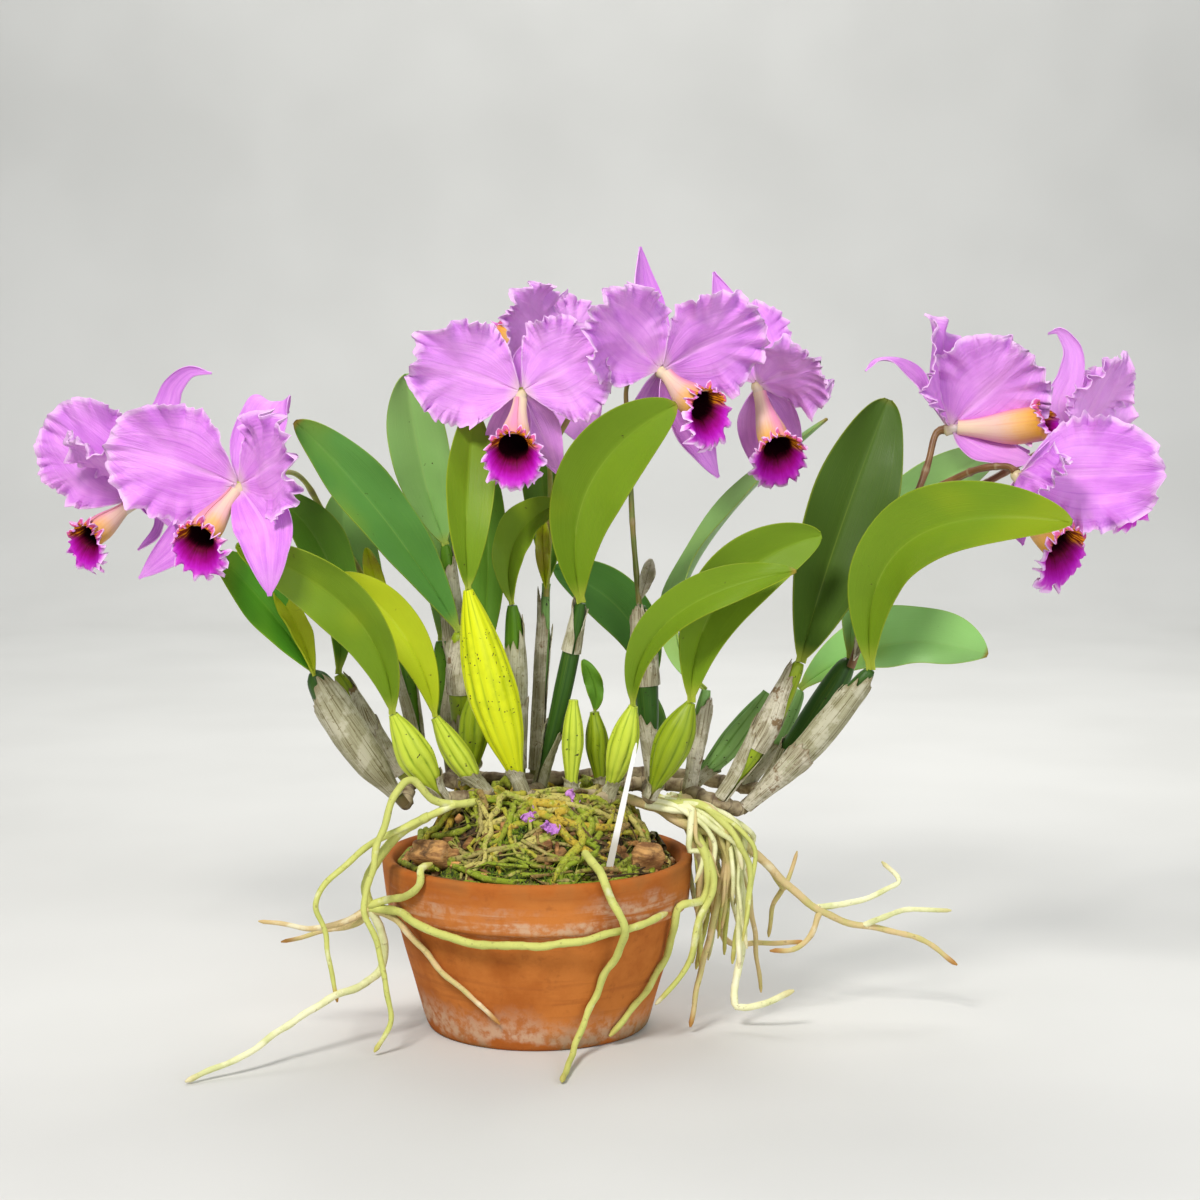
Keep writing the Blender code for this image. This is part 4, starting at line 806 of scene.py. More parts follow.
# %% Bulb, sheath and rhizome skin
f = Finish("bulb skin")
crest, along = f.masks()[:2]
lines, cloud, specks, green = f.fibres((60, 2.0, 1)), f.noise(45), f.noise(420, 1, 0.5), f.tint()
# Painted shade: the bulb's tint is darkened down in the furrows and full on the crests.
f.ground(f.span(crest, 0.72, 0.15, 0.0, 0.85), green, (0.40, 0.52, 0.22), "MULTIPLY")
f.coat(f.span(lines, 0.5, 0.75, 0.0, 0.35), f.mix(1.0, green, (0.14, 0.13, 0.01), "ADD"))
f.coat(f.span(cloud, 0.5, 0.75, 0.0, 0.45), f.mix(1.0, green, (0.4, 0.5, 0.4), "MULTIPLY"))
f.coat(f.times(f.span(specks, 0.68, 0.72), f.span(cloud, 0.45, 0.55)), (0.03, 0.02, 0.01))
f.coat(f.span(along, 0.16, 0.02, 0.0, 0.8), (0.20, 0.13, 0.06))
f.bump(f.math("ADD", lines, cloud), 0.25, 0.001)
BULB = f.end(0.4, Specular_IOR_Level=0.25)

f = Finish("dry sheath")
along, own = f.masks()[::3]
fibres, cloud, specks = f.fibres((55, 1.6, 1), 4, 0.7), f.noise(55, 4, 0.65), f.noise(330, 2)
f.ground(f.span(fibres, 0.36, 0.56), (0.15, 0.105, 0.05), (0.47, 0.43, 0.30))
f.coat(f.times(f.span(cloud, 0.44, 0.58, 0.0, 0.85), f.span(fibres, 0.34, 0.46)), (0.66, 0.61, 0.48))
f.coat(f.times(f.span(cloud, 0.58, 0.66), f.span(own, 0.3, 0.9)), (0.22, 0.14, 0.07))
f.coat(f.span(specks, 0.64, 0.70, 0.0, 0.7), (0.16, 0.09, 0.04))
f.coat(f.span(along, 0.93, 1.0, 0.0, 0.5), (0.26, 0.17, 0.09))
f.coat(f.times(f.rest(own), 0.3), (0.24, 0.28, 0.10))
f.bump(fibres, 0.45, 0.0010)
SHEATH = f.end(0.75, Specular_IOR_Level=0.2)

f = Finish("rhizome")
cloud = f.noise(90, 4)
f.ground(f.span(cloud, 0.35, 0.65), (0.14, 0.09, 0.045), (0.42, 0.34, 0.20))
f.coat(f.span(f.masks()[0], 0.5, 1.0, 0.0, 0.7), (0.08, 0.05, 0.03))
f.bump(cloud, 0.5, 0.001)
RHIZOME = f.end(0.8)

# %% [markdown]
# A bulb is a tube whose radius changes along it and round it. A sheath is a sheet rolled round the
# same curve, so it fits however the bulb leans. Sculpting would give freer folds, but it would have
# to be done twenty-five times.


# %% Bulbs on their rhizomes
def bulb_route(plan, rows):
    """The bulb's axis and radius together as one smooth curve of four numbers. A ribbed bulb is a
    spindle. A smooth one is a little slimmer and keeps its width further up."""
    foot, top, radius, ribs = np.array(plan[0], float), np.array(plan[1], float), *plan[2:4]
    if not ribs:
        radius *= 0.92
    profile = np.array([(0, 4.0), (0.1, 4.5), (0.2, 0.30 * radius + 2.2), (0.35, 0.78 * radius),
                        (0.5, 0.98 * radius), (0.6, radius), (0.75, 0.86 * radius),
                        (0.88, 0.52 * radius + 0.8), (0.96, 0.2 * radius + 2.0), (1, 3.4)])
    if not ribs:
        profile[4:-1, 1] = (0.88 * radius, 0.94 * radius, 0.90 * radius, 0.74 * radius, 0.52 * radius + 0.5)
    t = profile[:, :1]
    sag = np.linalg.norm(top - foot) * 0.05 * (abs(top[0] - foot[0]) > 30)
    places = foot + (top - foot) * t - UP * sag * np.sin(np.pi * t)
    return spine(np.hstack([places, profile[:, 1:]]), rows)


def bulb(shells, plan, seed):
    """The rib's height is the 0.6th power of a sine round the bulb, so furrows are narrower."""
    ribs, sides, depth, bend = (plan[3], 50, 0.17, 0.25) if plan[3] else (7, 24, 0.05, 0)
    route = bulb_route(plan, 46)
    u, turn = np.linspace(0, 1, len(route))[:, None], around(sides)
    bend = bend * grain(u * 4, 2.5, seed)[:, None]
    crest = np.abs(np.sin(ribs * turn / 2 + bend + seed)) ** 0.6
    bulk = 1 + 0.03 * grain(channels(u * 3, np.sin(turn), np.cos(turn))[..., :3], 1.5, seed)
    radius = route[:, 3:] * (1 - depth * np.sin(np.pi * u) ** 0.7 * (1 - crest)) * bulk
    # The crest mask also sets the painted shade in the furrows.
    tube(shells, route[:, :3], radius, sides, channels(crest, u), plan[6])


def sleeve(shells, plan, start, end, seed):
    """A dry sheath: a sheet rolled nearly round the bulb that gapes toward its top, which is cut
    on a slant and stands away a little."""
    rows, columns = 22, 38
    route = bulb_route(plan, 101)
    s, rim = np.linspace(0, 1, rows)[:, None], np.linspace(-np.pi, np.pi, columns)
    gape = 12 + 55 * (seed * 0.37 % 1)
    turn = np.linspace(-1, 1, columns) * np.radians(174 - gape * ease(0.25, 1.0, s))
    torn = 0.035 * grain(rim, 0.9, seed) + 0.012 * grain(rim, 0.3, seed + 1)
    last = start + (end - start) * (0.98 - 0.24 * (0.5 - 0.5 * np.cos(rim - 0.7)) ** 0.8 + torn)
    t = np.clip(start + (last - start) * s, 0, 1.12)
    along = np.clip(t, 0, 1) * (len(route) - 1)
    index = np.minimum(along.astype(int), len(route) - 2)
    share = (along - index)[..., None]
    here = route[index] * (1 - share) + route[index + 1] * share
    whole = route[-1, :3] - route[0, :3]
    side = unit(np.cross(unit(whole), (0.3, 1, 0.1)))
    other = np.cross(unit(whole), side)
    spin = (turn + seed * 1.7)[..., None]
    swell = 0.30 * grain(turn * 4 + s, 1.1, seed + 2) + 1.1 * ease(0.7, 1.0, s) ** 2
    radius = np.maximum(here[..., 3], 4.4) + 0.7 + swell + 0.9 * np.abs(turn / np.pi) ** 6
    middle = here[..., :3] + whole * np.maximum(t - 1, 0)[..., None]
    middle = middle + radius[..., None] * (side * np.cos(spin) + other * np.sin(spin))
    mask = channels(s + 0 * turn, 0, 0, seed * 0.31 % 1)
    sheet(shells, middle[:, ::-1], 0.45, mask[:, ::-1], WHITE, 1)


def rhizome(shells, places, seed):
    """A creeping stem whose radius swells in rings, by the 6th power of a sine along it."""
    route = spine(places, 26 * len(places))
    u, turn = np.arange(len(route))[:, None], around(14)
    ring = np.maximum(np.sin(u * 0.55 + grain(turn, 3.0, seed) * 0.4), 0) ** 6
    swell = RHIZOME_RADIUS * (1 + 0.10 * grain(u * 0.12 + np.sin(turn), 1.4, seed) + 0.10 * ring)
    swell[[0, -1]] *= 0.5
    tube(shells, route, swell, len(turn), channels(ring), WHITE, 2)


RHIZOME_RADIUS = 5.2
SIDE_CREEPER = [(54, 14, 175.4), (85, 20, 175.4)]
for side, order in RHIZOMES.items():
    cane = Shells()
    rhizome(cane, [SHOOTS[key][0] for key in order], len(order))
    if side == "right":
        rhizome(cane, SIDE_CREEPER, 3)
    for key in order:
        bulb(cane, SHOOTS[key], int(key))
        for number, (start, end) in enumerate(SHOOTS[key][7]):
            sleeve(cane, SHOOTS[key], start, end, int(key) + 30 * number)
    cane.piece(f"canes_{side}_bulbs", [BULB, SHEATH, RHIZOME], "canes_" + side, "bulb_skin")

# %% [markdown]
# Flower stalks branch toward the backs of the blooms. They have joints with small bracts, and
# each comes out of a sheath, which is a small leaf folded sharply. A curve with a bevel would make
# a stalk, but not its joints, so it is a tube whose radius has a bump at three places.
# The table gives for each stalk its branches with the bloom at their end, its radius, the three
# places of the sheath and its width, the sheath's colour while it is fresh, and the stalk's colour.

# %% Stalks
f = Finish("stem skin")
cloud, fibres = f.noise(60), f.fibres((16, 3, 1))
f.ground(f.span(cloud, 0.4, 0.65, 0.0, 0.5), f.tint(), (0.30, 0.15, 0.05))
f.coat(f.span(fibres, 0.5, 0.7, 0.0, 0.3), (0.50, 0.46, 0.18))
f.coat(f.span(f.masks()[0], 0.4, 1.0, 0.0, 0.7), (0.32, 0.24, 0.12))
f.bump(fibres, 0.25, 0.0008)
STEM = f.end(0.42)
STALKS = {
    "stalk_left": ([((-106, 46.3, 273), (-128, 42, 322), (-158, 38, 374), (-172, 18, 402),
             (-182, -24, 410), "bloom_2"),
            ((-158, 38, 374), (-210, 50, 396), (-262, 56, 392), "bloom_1")], 2.4,
           ((-107, 44.6, 278), (-118, 39, 316), (-128, 37, 350)), 17, YELLOW, (0.40, 0.42, 0.06)),
    "stalk_centre": ([((6, 32.6, 314), (9, 33, 372), (8, 28, 420), (0, 10, 452), "bloom_3"),
              ((8, 28, 420), (26, 36, 452), (40, 48, 480), "bloom_4")], 2.2,
             ((6, 31, 320), (4, 27, 346), (4, 24, 374)), 14, YELLOW, (0.36, 0.40, 0.06)),
    "stalk_middle": ([((75, 25, 308.8), (70, 38, 370), (68, 48, 430), (66, 38, 470), "bloom_5"),
              ((68, 48, 430), (114, 78, 452), (150, 84, 474), "bloom_6")], 2.2,
             ((76, 26.5, 312), (80, 30, 326), (84, 33, 342)), 13, None, (0.16, 0.20, 0.03)),
    "stalk_right": ([((232, 23.7, 262), (256, 22, 330), (278, 26, 386), (288, 32, 412), "bloom_7"),
             ((278, 26, 386), (306, 4, 404), (322, -12, 412), "bloom_8"),
             ((278, 26, 386), (326, 50, 394), (376, 73, 418), "bloom_9")], 3.2,
            ((234, 20.5, 268), (240, 14, 290), (246, 11, 312)), 15, None, (0.17, 0.07, 0.022)),
}
STALK_ROWS, STALK_SIDES, SPATHE_FOLD = 70, 12, 55
for name, (branches, thick, spathe, wide, fresh_tone, tone) in STALKS.items():
    stem = Shells()
    for number, (*places, bloom) in enumerate(branches):
        hub, face = np.asarray(BLOOMS[bloom]["hub"], float), toward(*BLOOMS[bloom]["face"])
        route = spine([*places, hub - face * 11.5, hub - face * 2], STALK_ROWS)
        u = np.linspace(0, 1, STALK_ROWS)
        knot = np.exp(-((u[:, None] - (0.28, 0.55, 0.8)) / 0.018) ** 2).sum(1)
        radius = thick * (1 - 0.25 * u) * (1 + 0.16 * knot + 0.05 * grain(u * 8, 1.2, number))
        radius = radius + 1.3 * ease(0.93, 1.0, u)
        tube(stem, route, radius, STALK_SIDES, channels(knot[:, None]), tone)
    middle, uu, vv = leaf_surface(*spathe, wide, (0, -1, 0), SPATHE_FOLD, len(name), 36, 13)
    if fresh_tone:
        sheet(stem, middle, 0.9, (0, 0, 0, 0), fresh_tone, 0)
    else:
        sheet(stem, middle, 0.9, channels(uu * 0.9, 0, 0, 0.7), WHITE, 1)
    stem.piece(name + "_stem", [STEM, SHEATH], name, "flower_stalk")

# %% [markdown]
# Air roots are tubes whose radius wanders a little. They are pale where the spongy skin is dry,
# greener where it is fresh, and end in a brown, rounded tip. A curve with a bevel would do, but
# its radius would have to be set point by point. Many of them lie against the pan, so places on
# it are given by the angle round it and the height.
# The table gives each root's places, its radius at the start and at the tip, and its colour.

# %% Air root skin and places
f = Finish("air root")
tip, own = f.masks()[::3]
cloud, fine = f.noise(38, 4), f.noise(300)
f.ground(f.span(cloud, 0.42, 0.62, 0.0, 0.5), f.tint(), (0.46, 0.50, 0.12))
f.coat(f.span(cloud, 0.44, 0.30, 0.0, 0.6), (0.90, 0.89, 0.66))
f.coat(f.span(fine, 0.6, 0.75, 0.0, 0.55), (0.22, 0.15, 0.06))
f.coat(f.times(tip, own), (0.45, 0.20, 0.04))
f.bump(fine, 0.4, 0.0007)
ROOT = f.end(0.72, Specular_IOR_Level=0.2)
PAN_HEIGHT, RIM_RADIUS, RIM_BAND, FOOT_RADIUS, WALL, FLOOR = 128, 115, 38, 82, 9, 10


def pan_radius(z):
    """Outer radius of the pan: a cone, and a thick band under the rim."""
    z = np.asarray(z, float)
    band = RIM_RADIUS - 3.5 * (PAN_HEIGHT - z) / RIM_BAND
    body = FOOT_RADIUS + (RIM_RADIUS - 7.5 - FOOT_RADIUS) * z / (PAN_HEIGHT - RIM_BAND)
    return np.where(z >= PAN_HEIGHT - RIM_BAND, band, body)


def on_pan(azimuth, z, radius):
    """A place on the pan's outside for the middle of a root with this radius."""
    a, r = np.radians(azimuth), float(pan_radius(z)) + radius + 0.8
    return (r * np.cos(a), r * np.sin(a), z)


PALE, FRESH, TAN = (0.86, 0.85, 0.52), (0.60, 0.62, 0.17), (0.66, 0.50, 0.25)
ROOTS = {
    "left": (
        [((-34, -38, 173.4), (-60, -55, 174.4), (-73, -61, 178), (-87, -67, 194), (-98, -76, 187),
          (-109, -80, 156), (-115, -83, 132), (-121, -85, 106), (-113, -86, 84), (-105, -87, 46),
          (-103, -88, 22), (-114, -92, 3)), 3.0, 1.8, FRESH],
        [((-58, -55, 174), (-78, -62, 166), (-110, -70, 152), (-127, -75, 141), (-154, -80, 113),
          (-149, -80, 83), (-141, -80, 36)), 2.8, 1.6, FRESH],
        [((-76, -62, 167), (-96, -62, 155), (-113, -60, 135), (-122, -55, 114), (-119, -50, 94)),
         3.4, 3.4, FRESH],
        [((-120, -50, 98), (-134, -55, 90), (-157, -60, 85), (-199, -60, 90)), 2.8, 1.5, TAN],
        [((-120, -50, 96), (-128, -46, 86), (-150, -42, 79), (-185, -45, 71)), 2.6, 1.4, TAN],
        [((-119, -50, 96), (-112, -46, 78), (-110, -52, 62), (-118, -62, 48), (-156, -94, 36),
          (-196, -130, 15), (-237, -160, 2.3)), 3.3, 2.0, PALE],
        [((-120, -50, 97), on_pan(-150, 97, 3.2), on_pan(-137, 94, 4), on_pan(-122, 87, 7),
          on_pan(-106, 85, 7), on_pan(-93, 85, 7), on_pan(-77, 87, 7), on_pan(-61, 92, 4),
          on_pan(-47, 95, 3.2), on_pan(-36, 98, 3.0)), 3.2, 2.6, FRESH],
        [((-120, -50, 97), on_pan(-152, 90, 2.8), on_pan(-142, 75, 2.8), on_pan(-133, 60, 2.6),
          on_pan(-120, 44, 2.4), on_pan(-106, 22, 2.0)), 2.8, 1.6, TAN],
        [((-120, -52, 100), on_pan(-150, 106, 3.0), on_pan(-139, 114, 3.0), on_pan(-133, 124, 3.0),
          (-80, -85, 134), (-73, -78, 136)), 3.0, 2.6, FRESH],
    ),
    "front": (
        [((35, -72, 141.9), (40, -86, 139.6), (45, -98, 136), on_pan(-66, 130, 3.4), on_pan(-63, 116, 4.5),
          on_pan(-60, 100, 12.5), on_pan(-59, 84, 13), on_pan(-61, 60, 4),
          on_pan(-66, 34, 3.4), (30, -100, 14), (24, -130, 5), (20, -160, 2.4)), 3.3, 2.0, FRESH],
    ),
    "right": (
        [((54, -14, 174.4), (84, -14, 165), (100, -20, 157), (118, -24, 151), (142, -14, 146),
          (150, -4, 140)), 3.6, 5.0, TAN],
        [((118, -22, 152), (133, -18, 140), (137, -20, 121), (127, -28, 76), (117, -33, 34),
          (112, -35, 5)), 3.2, 1.8, TAN],
        [((138, -14, 147), (146, -4, 128), (152, -10, 78), (145, -20, 24), (150, -23, 16),
          (165, -26, 20), (188, -30, 31)), 3.4, 2.4, PALE],
        [((146, -6, 142), (152, 10, 120), (160, 10, 73), (166, 5, 20)), 2.8, 1.5, TAN],
        [((144, -6, 145), (172, 4, 115), (208, 10, 82), (245, 14, 68), (282, 10, 61), (312, 5, 41)),
         3.6, 1.8, TAN],
        [((206, 10, 83), (234, 20, 85), (270, 30, 98), (258, 35, 113)), 2.6, 1.7, PALE],
        [((243, 14, 69), (273, 0, 84), (305, -10, 86)), 2.4, 1.5, PALE],
        [((210, 10, 81), (197, 5, 56), (172, 0, 53)), 2.4, 1.8, TAN],
        [((172, 4, 115), (184, 22, 96), (194, 30, 122)), 2.4, 1.4, TAN],
        [((184, 22, 98), (176, 28, 80), (173, 30, 56)), 2.2, 1.4, TAN],
        [((126, -22, 150), (128, 20, 90), (142, 25, 54), (166, 25, 53), (200, 18, 55)), 3.0, 1.8, TAN],
        [((110, -24, 155), (124, -38, 128), (122, -38, 104), on_pan(-28, 96, 3.4), on_pan(-24, 60, 3.2),
          on_pan(-37, 34, 3.0), on_pan(-53, 8, 2.6)), 3.4, 2.2, FRESH],
        [((112, -23, 154), (128, -40, 120), (116, -46, 80), (108, -46, 51), (86, -64, 30)), 3.0, 1.8, FRESH],
    ),
}
print("air roots by hand:", sum(len(roots) for roots in ROOTS.values()))

# %% [markdown]
# The bunch at the right has many finer roots that nobody would place one by one. They start at the
# moss, dive over the rim and hang down beside the pan, by numbers drawn from one seed.


# %% Air roots
def air_root(shells, places, thick, thin, tone, seed, sides=10, step=3.2):
    """The route wanders by slow noise, its radius by quicker noise, and it ends round."""
    length = np.linalg.norm(np.diff(places, axis=0), axis=1).sum()
    rows = int(max(10, length / step))
    route, u = spine(places, rows), np.linspace(0, 1, rows)
    walk = u * length
    sway = np.stack([grain(walk, 40, seed + k) for k in range(3)], -1) * 0.7
    route += sway * np.sin(np.pi * u)[:, None] ** 0.5
    radius = (thick + (thin - thick) * u) * (1 + 0.06 * grain(walk, 14, seed + 5))
    radius *= np.sqrt(np.clip((length - walk + 0.3) / (2 * thin), 0.15, 1))
    tip = ease(length - 14, length - 3, walk)[:, None]
    tube(shells, route, radius, sides, channels(tip, 0, 0, 0.25 if seed % 3 else 0.9), tone)


FINE_ROOTS = 44
for side, roots in ROOTS.items():
    tangle = Shells()
    for number, (places, thick, thin, tone) in enumerate(roots):
        air_root(tangle, places, thick, thin, tone, 50 + 7 * number)
    if side == "right":
        draw = np.random.default_rng(12)
        for number in range(FINE_ROOTS):
            x, y = draw.uniform(112, 150), draw.uniform(-34, 22)
            low = draw.uniform(34, 122)
            bend = draw.normal(0, 4, (4, 2))
            start = (draw.uniform(78, 106), y * 0.5 - 8, draw.uniform(166, 172))
            places = (start, ((start[0] + x) / 2 + 4, y * 0.8 - 4, draw.uniform(158, 168)),
                      (x + bend[0, 0], y + bend[0, 1], draw.uniform(138, 150)),
                      (x + bend[1, 0] + 3, y + bend[1, 1], (low + 140) / 2 + 8),
                      (x + bend[2, 0] + 3, y + bend[2, 1], low))
            air_root(tangle, places, draw.uniform(1.7, 3.2), draw.uniform(1.1, 1.9),
                     (PALE, PALE, FRESH, TAN)[number % 4], 400 + 9 * number, sides=8, step=4.4)
    tangle.piece(f"roots_{side}_fine", [ROOT], "roots_" + side, "air_root")

# %% [markdown]
# The filling is a mound of bark and moss. A displaced plane could be its top, but it has to fit the
# round wall. So it is turned: the CAD's height at each radius, plus noise in three sizes for lumps,
# chips and crumbs, which dies down near the wall. Loose chips hide that it is one surface.

# %% Mound
f = Finish("mulch")
patches, crumbs = f.noise(42, 4), f.noise(260, 4, 0.7)
green = f.mix(f.span(crumbs, 0.4, 0.65), (0.02, 0.04, 0.002), (0.24, 0.32, 0.01))
# Partly painted shade: near black in the low pits of the crumb bump, over the mulch's own browns.
f.ground(f.span(crumbs, 0.35, 0.65), (0.008, 0.005, 0.002), (0.12, 0.07, 0.028))
f.coat(f.span(patches, 0.44, 0.56), green)
f.bump(crumbs, 0.9, 0.003)
MULCH = f.end(0.92)
FILL_EDGE, FILL_RISE, FLAT_RADIUS = 118, 46, 64
FILL_ROWS, LUMP_TOP = 76, 4.5


def inner_radius(z):
    """Inner radius of the pan: a plain cone."""
    top, low = RIM_RADIUS - WALL, FOOT_RADIUS - WALL + 1
    return low + (top - low) * (np.asarray(z, float) - FLOOR) / (PAN_HEIGHT - FLOOR)


def fill_height(r):
    """Flat on the mound, then a slope that eases out to the wall."""
    t = np.clip((np.asarray(r, float) - FLAT_RADIUS) / (inner_radius(FILL_EDGE) - 0.3 - FLAT_RADIUS), 0, 1)
    return FILL_EDGE + FILL_RISE * (1 - t) ** 1.7


def on_fill(x, y, above):
    return np.array([x, y, fill_height(np.hypot(x, y)) + above])


def lumps(spots):
    """Noise in three sizes, less and less over the last 12 mm to the wall, and cut off on top."""
    edge, r = inner_radius(FILL_EDGE) - 0.5, np.hypot(*np.moveaxis(spots, -1, 0))
    rough = 3.4 * grain(spots, 30, 1) + 1.8 * grain(spots, 11, 2) + 0.9 * grain(spots, 4.5, 3)
    return np.minimum(rough * ease(edge, edge - 12, r), LUMP_TOP)


turn, under = around(200), np.array([112, 90, 60, 30, 10.5])
r = np.linspace(1.2, inner_radius(FILL_EDGE) - 0.5, FILL_ROWS)
z = np.concatenate([fill_height(r), under])[:, None]
r = np.concatenate([r, inner_radius(np.maximum(under, 11)) - 0.6])[:, None]
rough = lumps(np.stack([r * np.cos(turn), r * np.sin(turn)], -1))
mound = Shells()
lathe(mound, r, z + rough * (np.arange(len(r)) < FILL_ROWS)[:, None], turn)
mound.piece("mulch_mound", [MULCH], "growing_medium", "growing_medium")

# %% [markdown]
# On the mound lies a tangle of mossy roots, bark chips and moss. Real roots are too many to copy,
# so each is a short hump-backed tube, drawn at random from one of three kinds.
# The table gives for each kind how many there are, the radii between which they start, their run,
# their radius, the rows and sides of the tube, and four colours.

# %% Mossy tangle
f = Finish("mossy root")
wiry, cloud, fine = f.masks()[0], f.noise(70, 4), f.noise(420)
f.ground(f.times(f.span(cloud, 0.46, 0.6), f.span(wiry, 1.0, 0.0, 0.2, 0.8)), f.tint(), (0.26, 0.33, 0.015))
f.coat(f.span(fine, 0.52, 0.64, 0.0, 0.75), (0.08, 0.06, 0.015))
f.coat(f.times(f.span(fine, 0.42, 0.3, 0.0, 0.5), f.rest(wiry)), (0.62, 0.56, 0.20))
f.bump(fine, 0.6, 0.001)
MOSSY = f.end(0.85)
TANGLE = (
    (62, (8, 66), (24, 48), (1.8, 3.1), 16, 9,
     ((0.42, 0.38, 0.03), (0.26, 0.30, 0.015), (0.52, 0.45, 0.12), (0.52, 0.36, 0.03))),
    (50, (24, 92), (14, 44), (0.55, 1.0), 9, 6,
     ((0.06, 0.03, 0.012), (0.12, 0.06, 0.02), (0.20, 0.10, 0.03), (0.30, 0.26, 0.06))),
    (58, (40, 90), (10, 26), (1.2, 2.4), 8, 7,
     ((0.22, 0.30, 0.008), (0.28, 0.18, 0.05), (0.36, 0.30, 0.09), (0.12, 0.06, 0.02))),
)
TANGLE_REACH, TANGLE_TOP = 101, 183
draw = np.random.default_rng(5)
tangle = Shells()
for number, kind in enumerate(kind for kind in TANGLE for _ in range(kind[0])):
    start, run, thick, rows, sides, tones = kind[1:]
    azimuth = draw.uniform(-175, -5) if number % 4 else draw.uniform(0, 360)
    s = np.linspace(0, 1, rows)
    reach = np.minimum(draw.uniform(*start) + draw.uniform(*run) * s, TANGLE_REACH)
    angle = np.radians(azimuth + draw.uniform(-70, 70) * s + grain(s * 3, 1.6, number) * 12)
    thick = draw.uniform(*thick)
    hump = draw.uniform(2, 12) * np.sin(np.pi * s) ** 0.8 + 2.4 * grain(s * 4, 1.3, number + 1)
    over = np.where(reach < 60, 5, 2.5) * (1 - ease(60, 80, reach)) + thick * 0.6 + hump - 2
    rise = np.minimum(fill_height(reach) + over, TANGLE_TOP)
    route = np.stack([reach * np.cos(angle), reach * np.sin(angle), rise], -1)
    ends = np.sqrt(np.clip(4 * np.minimum(s, 1 - s) + 0.1, 0, 1))
    radius = thick * (1 + 0.1 * grain(s * 5, 1.0, number + 2)) * ends
    tube(tangle, route, radius, sides, (kind is TANGLE[1], 0, 0, 0), tones[draw.integers(4)])
tangle.piece("mossy_tangle", [MOSSY], "root_mat", "moss_roots")

# %% [markdown]
# Bark splits into blocks with long grain, dark pockets and pale worn corners. A cube with a bevel
# looks too clean, so a chip is a ball that is drawn toward a box and then roughened.


# %% Bark chunks and chips
def block(shells, centre, axes, size, seed, rows, sides, tint=WHITE, rough=0.14):
    """A chip: a squarish ball, the sines and cosines of its angles drawn toward 1, with noise. Its
    last axis is turned over where the three are left-handed, so that the faces look out."""
    def square(x):
        return np.sign(x) * np.abs(x) ** 0.45
    a, b = np.linspace(0, np.pi, rows + 2)[1:-1, None], around(sides)
    local = channels(square(np.sin(a)) * square(np.cos(b)), square(np.sin(a)) * square(np.sin(b)),
                     square(np.cos(a)))[..., :3]
    local = local * (1 + rough * grain(local, 1.3, seed)[..., None])
    shape = axes * np.reshape(size, (3, 1)) / 2
    shape[2] *= np.sign(np.linalg.det(axes))
    rings(shells, centre + local @ shape, centre + np.array([UP, -UP]) @ shape, 0, tint)


def chunk_axes(x, y, turn):
    """Rows: the block's long side, its width and its upright, leaning with the slope of the fill."""
    r, outward, spin = np.hypot(x, y), np.arctan2(y, x), np.radians(turn)
    slope = np.arctan2(fill_height(r - 12) - fill_height(r + 12), 24)
    out = np.array([np.cos(outward) * np.cos(slope), np.sin(outward) * np.cos(slope), -np.sin(slope)])
    side = np.array([np.sin(outward), -np.cos(outward), 0])
    return np.array([side * np.cos(spin) + out * np.sin(spin), out * np.cos(spin) - side * np.sin(spin),
                     np.cross(side, out)])


f = Finish("bark")
lines, cloud = f.noise((60, 60, 240), 4, 0.65), f.noise(60, 4)
f.ground(f.span(lines, 0.35, 0.65), (0.20, 0.085, 0.025), (0.62, 0.33, 0.11))
f.coat(f.span(cloud, 0.54, 0.70, 0.0, 0.8), (0.05, 0.025, 0.01))
f.ground(1.0, f.colour, f.tint(), "MULTIPLY")
f.coat(f.span(cloud, 0.42, 0.3, 0.0, 0.5), (0.55, 0.42, 0.22))
f.bump(lines, 0.8, 0.002)
BARK = f.end(0.85)
CHUNK_LIFT = 9.5
for name, place, size, turn_by in (("left", (-74, -50), (37, 18, 22), 12),
                                   ("right", (80, -46), (25, 16, 20), -20)):
    chunk = Shells()
    block(chunk, on_fill(*place, CHUNK_LIFT), chunk_axes(*place, turn_by), size, 3 + len(name), 40, 64,
          rough=0.10)
    chunk.piece(f"bark_chunk_{name}_rough", [BARK], "bark_chunk_" + name, "bark")

CHIPS = 190
chips = Shells()
for number in range(CHIPS):
    azimuth, reach = draw.uniform(0, 2 * np.pi), 100 * np.sqrt(draw.uniform(0.25, 1))
    axes = np.linalg.qr(draw.normal(size=(3, 3)))[0]
    block(chips, on_fill(reach * np.cos(azimuth), reach * np.sin(azimuth), 1), axes,
          draw.uniform(5, 14, 3) * (1, 0.8, 0.5), number, 3, 7,
          draw.choice([0.5, 0.8, 1.2]) * np.array([1, 0.95, 0.9]))
chips.piece("bark_chips", [BARK], None, "bark")

# %% [markdown]
# The moss is thousands of tiny closed spikes with three sides, only as many as show. Hair particles
# would be easier to comb, but they aren't surfaces, and the exported model would lose them. Some
# fallen flowers lie shrivelled among them, small crumpled scraps of the petals' own material.


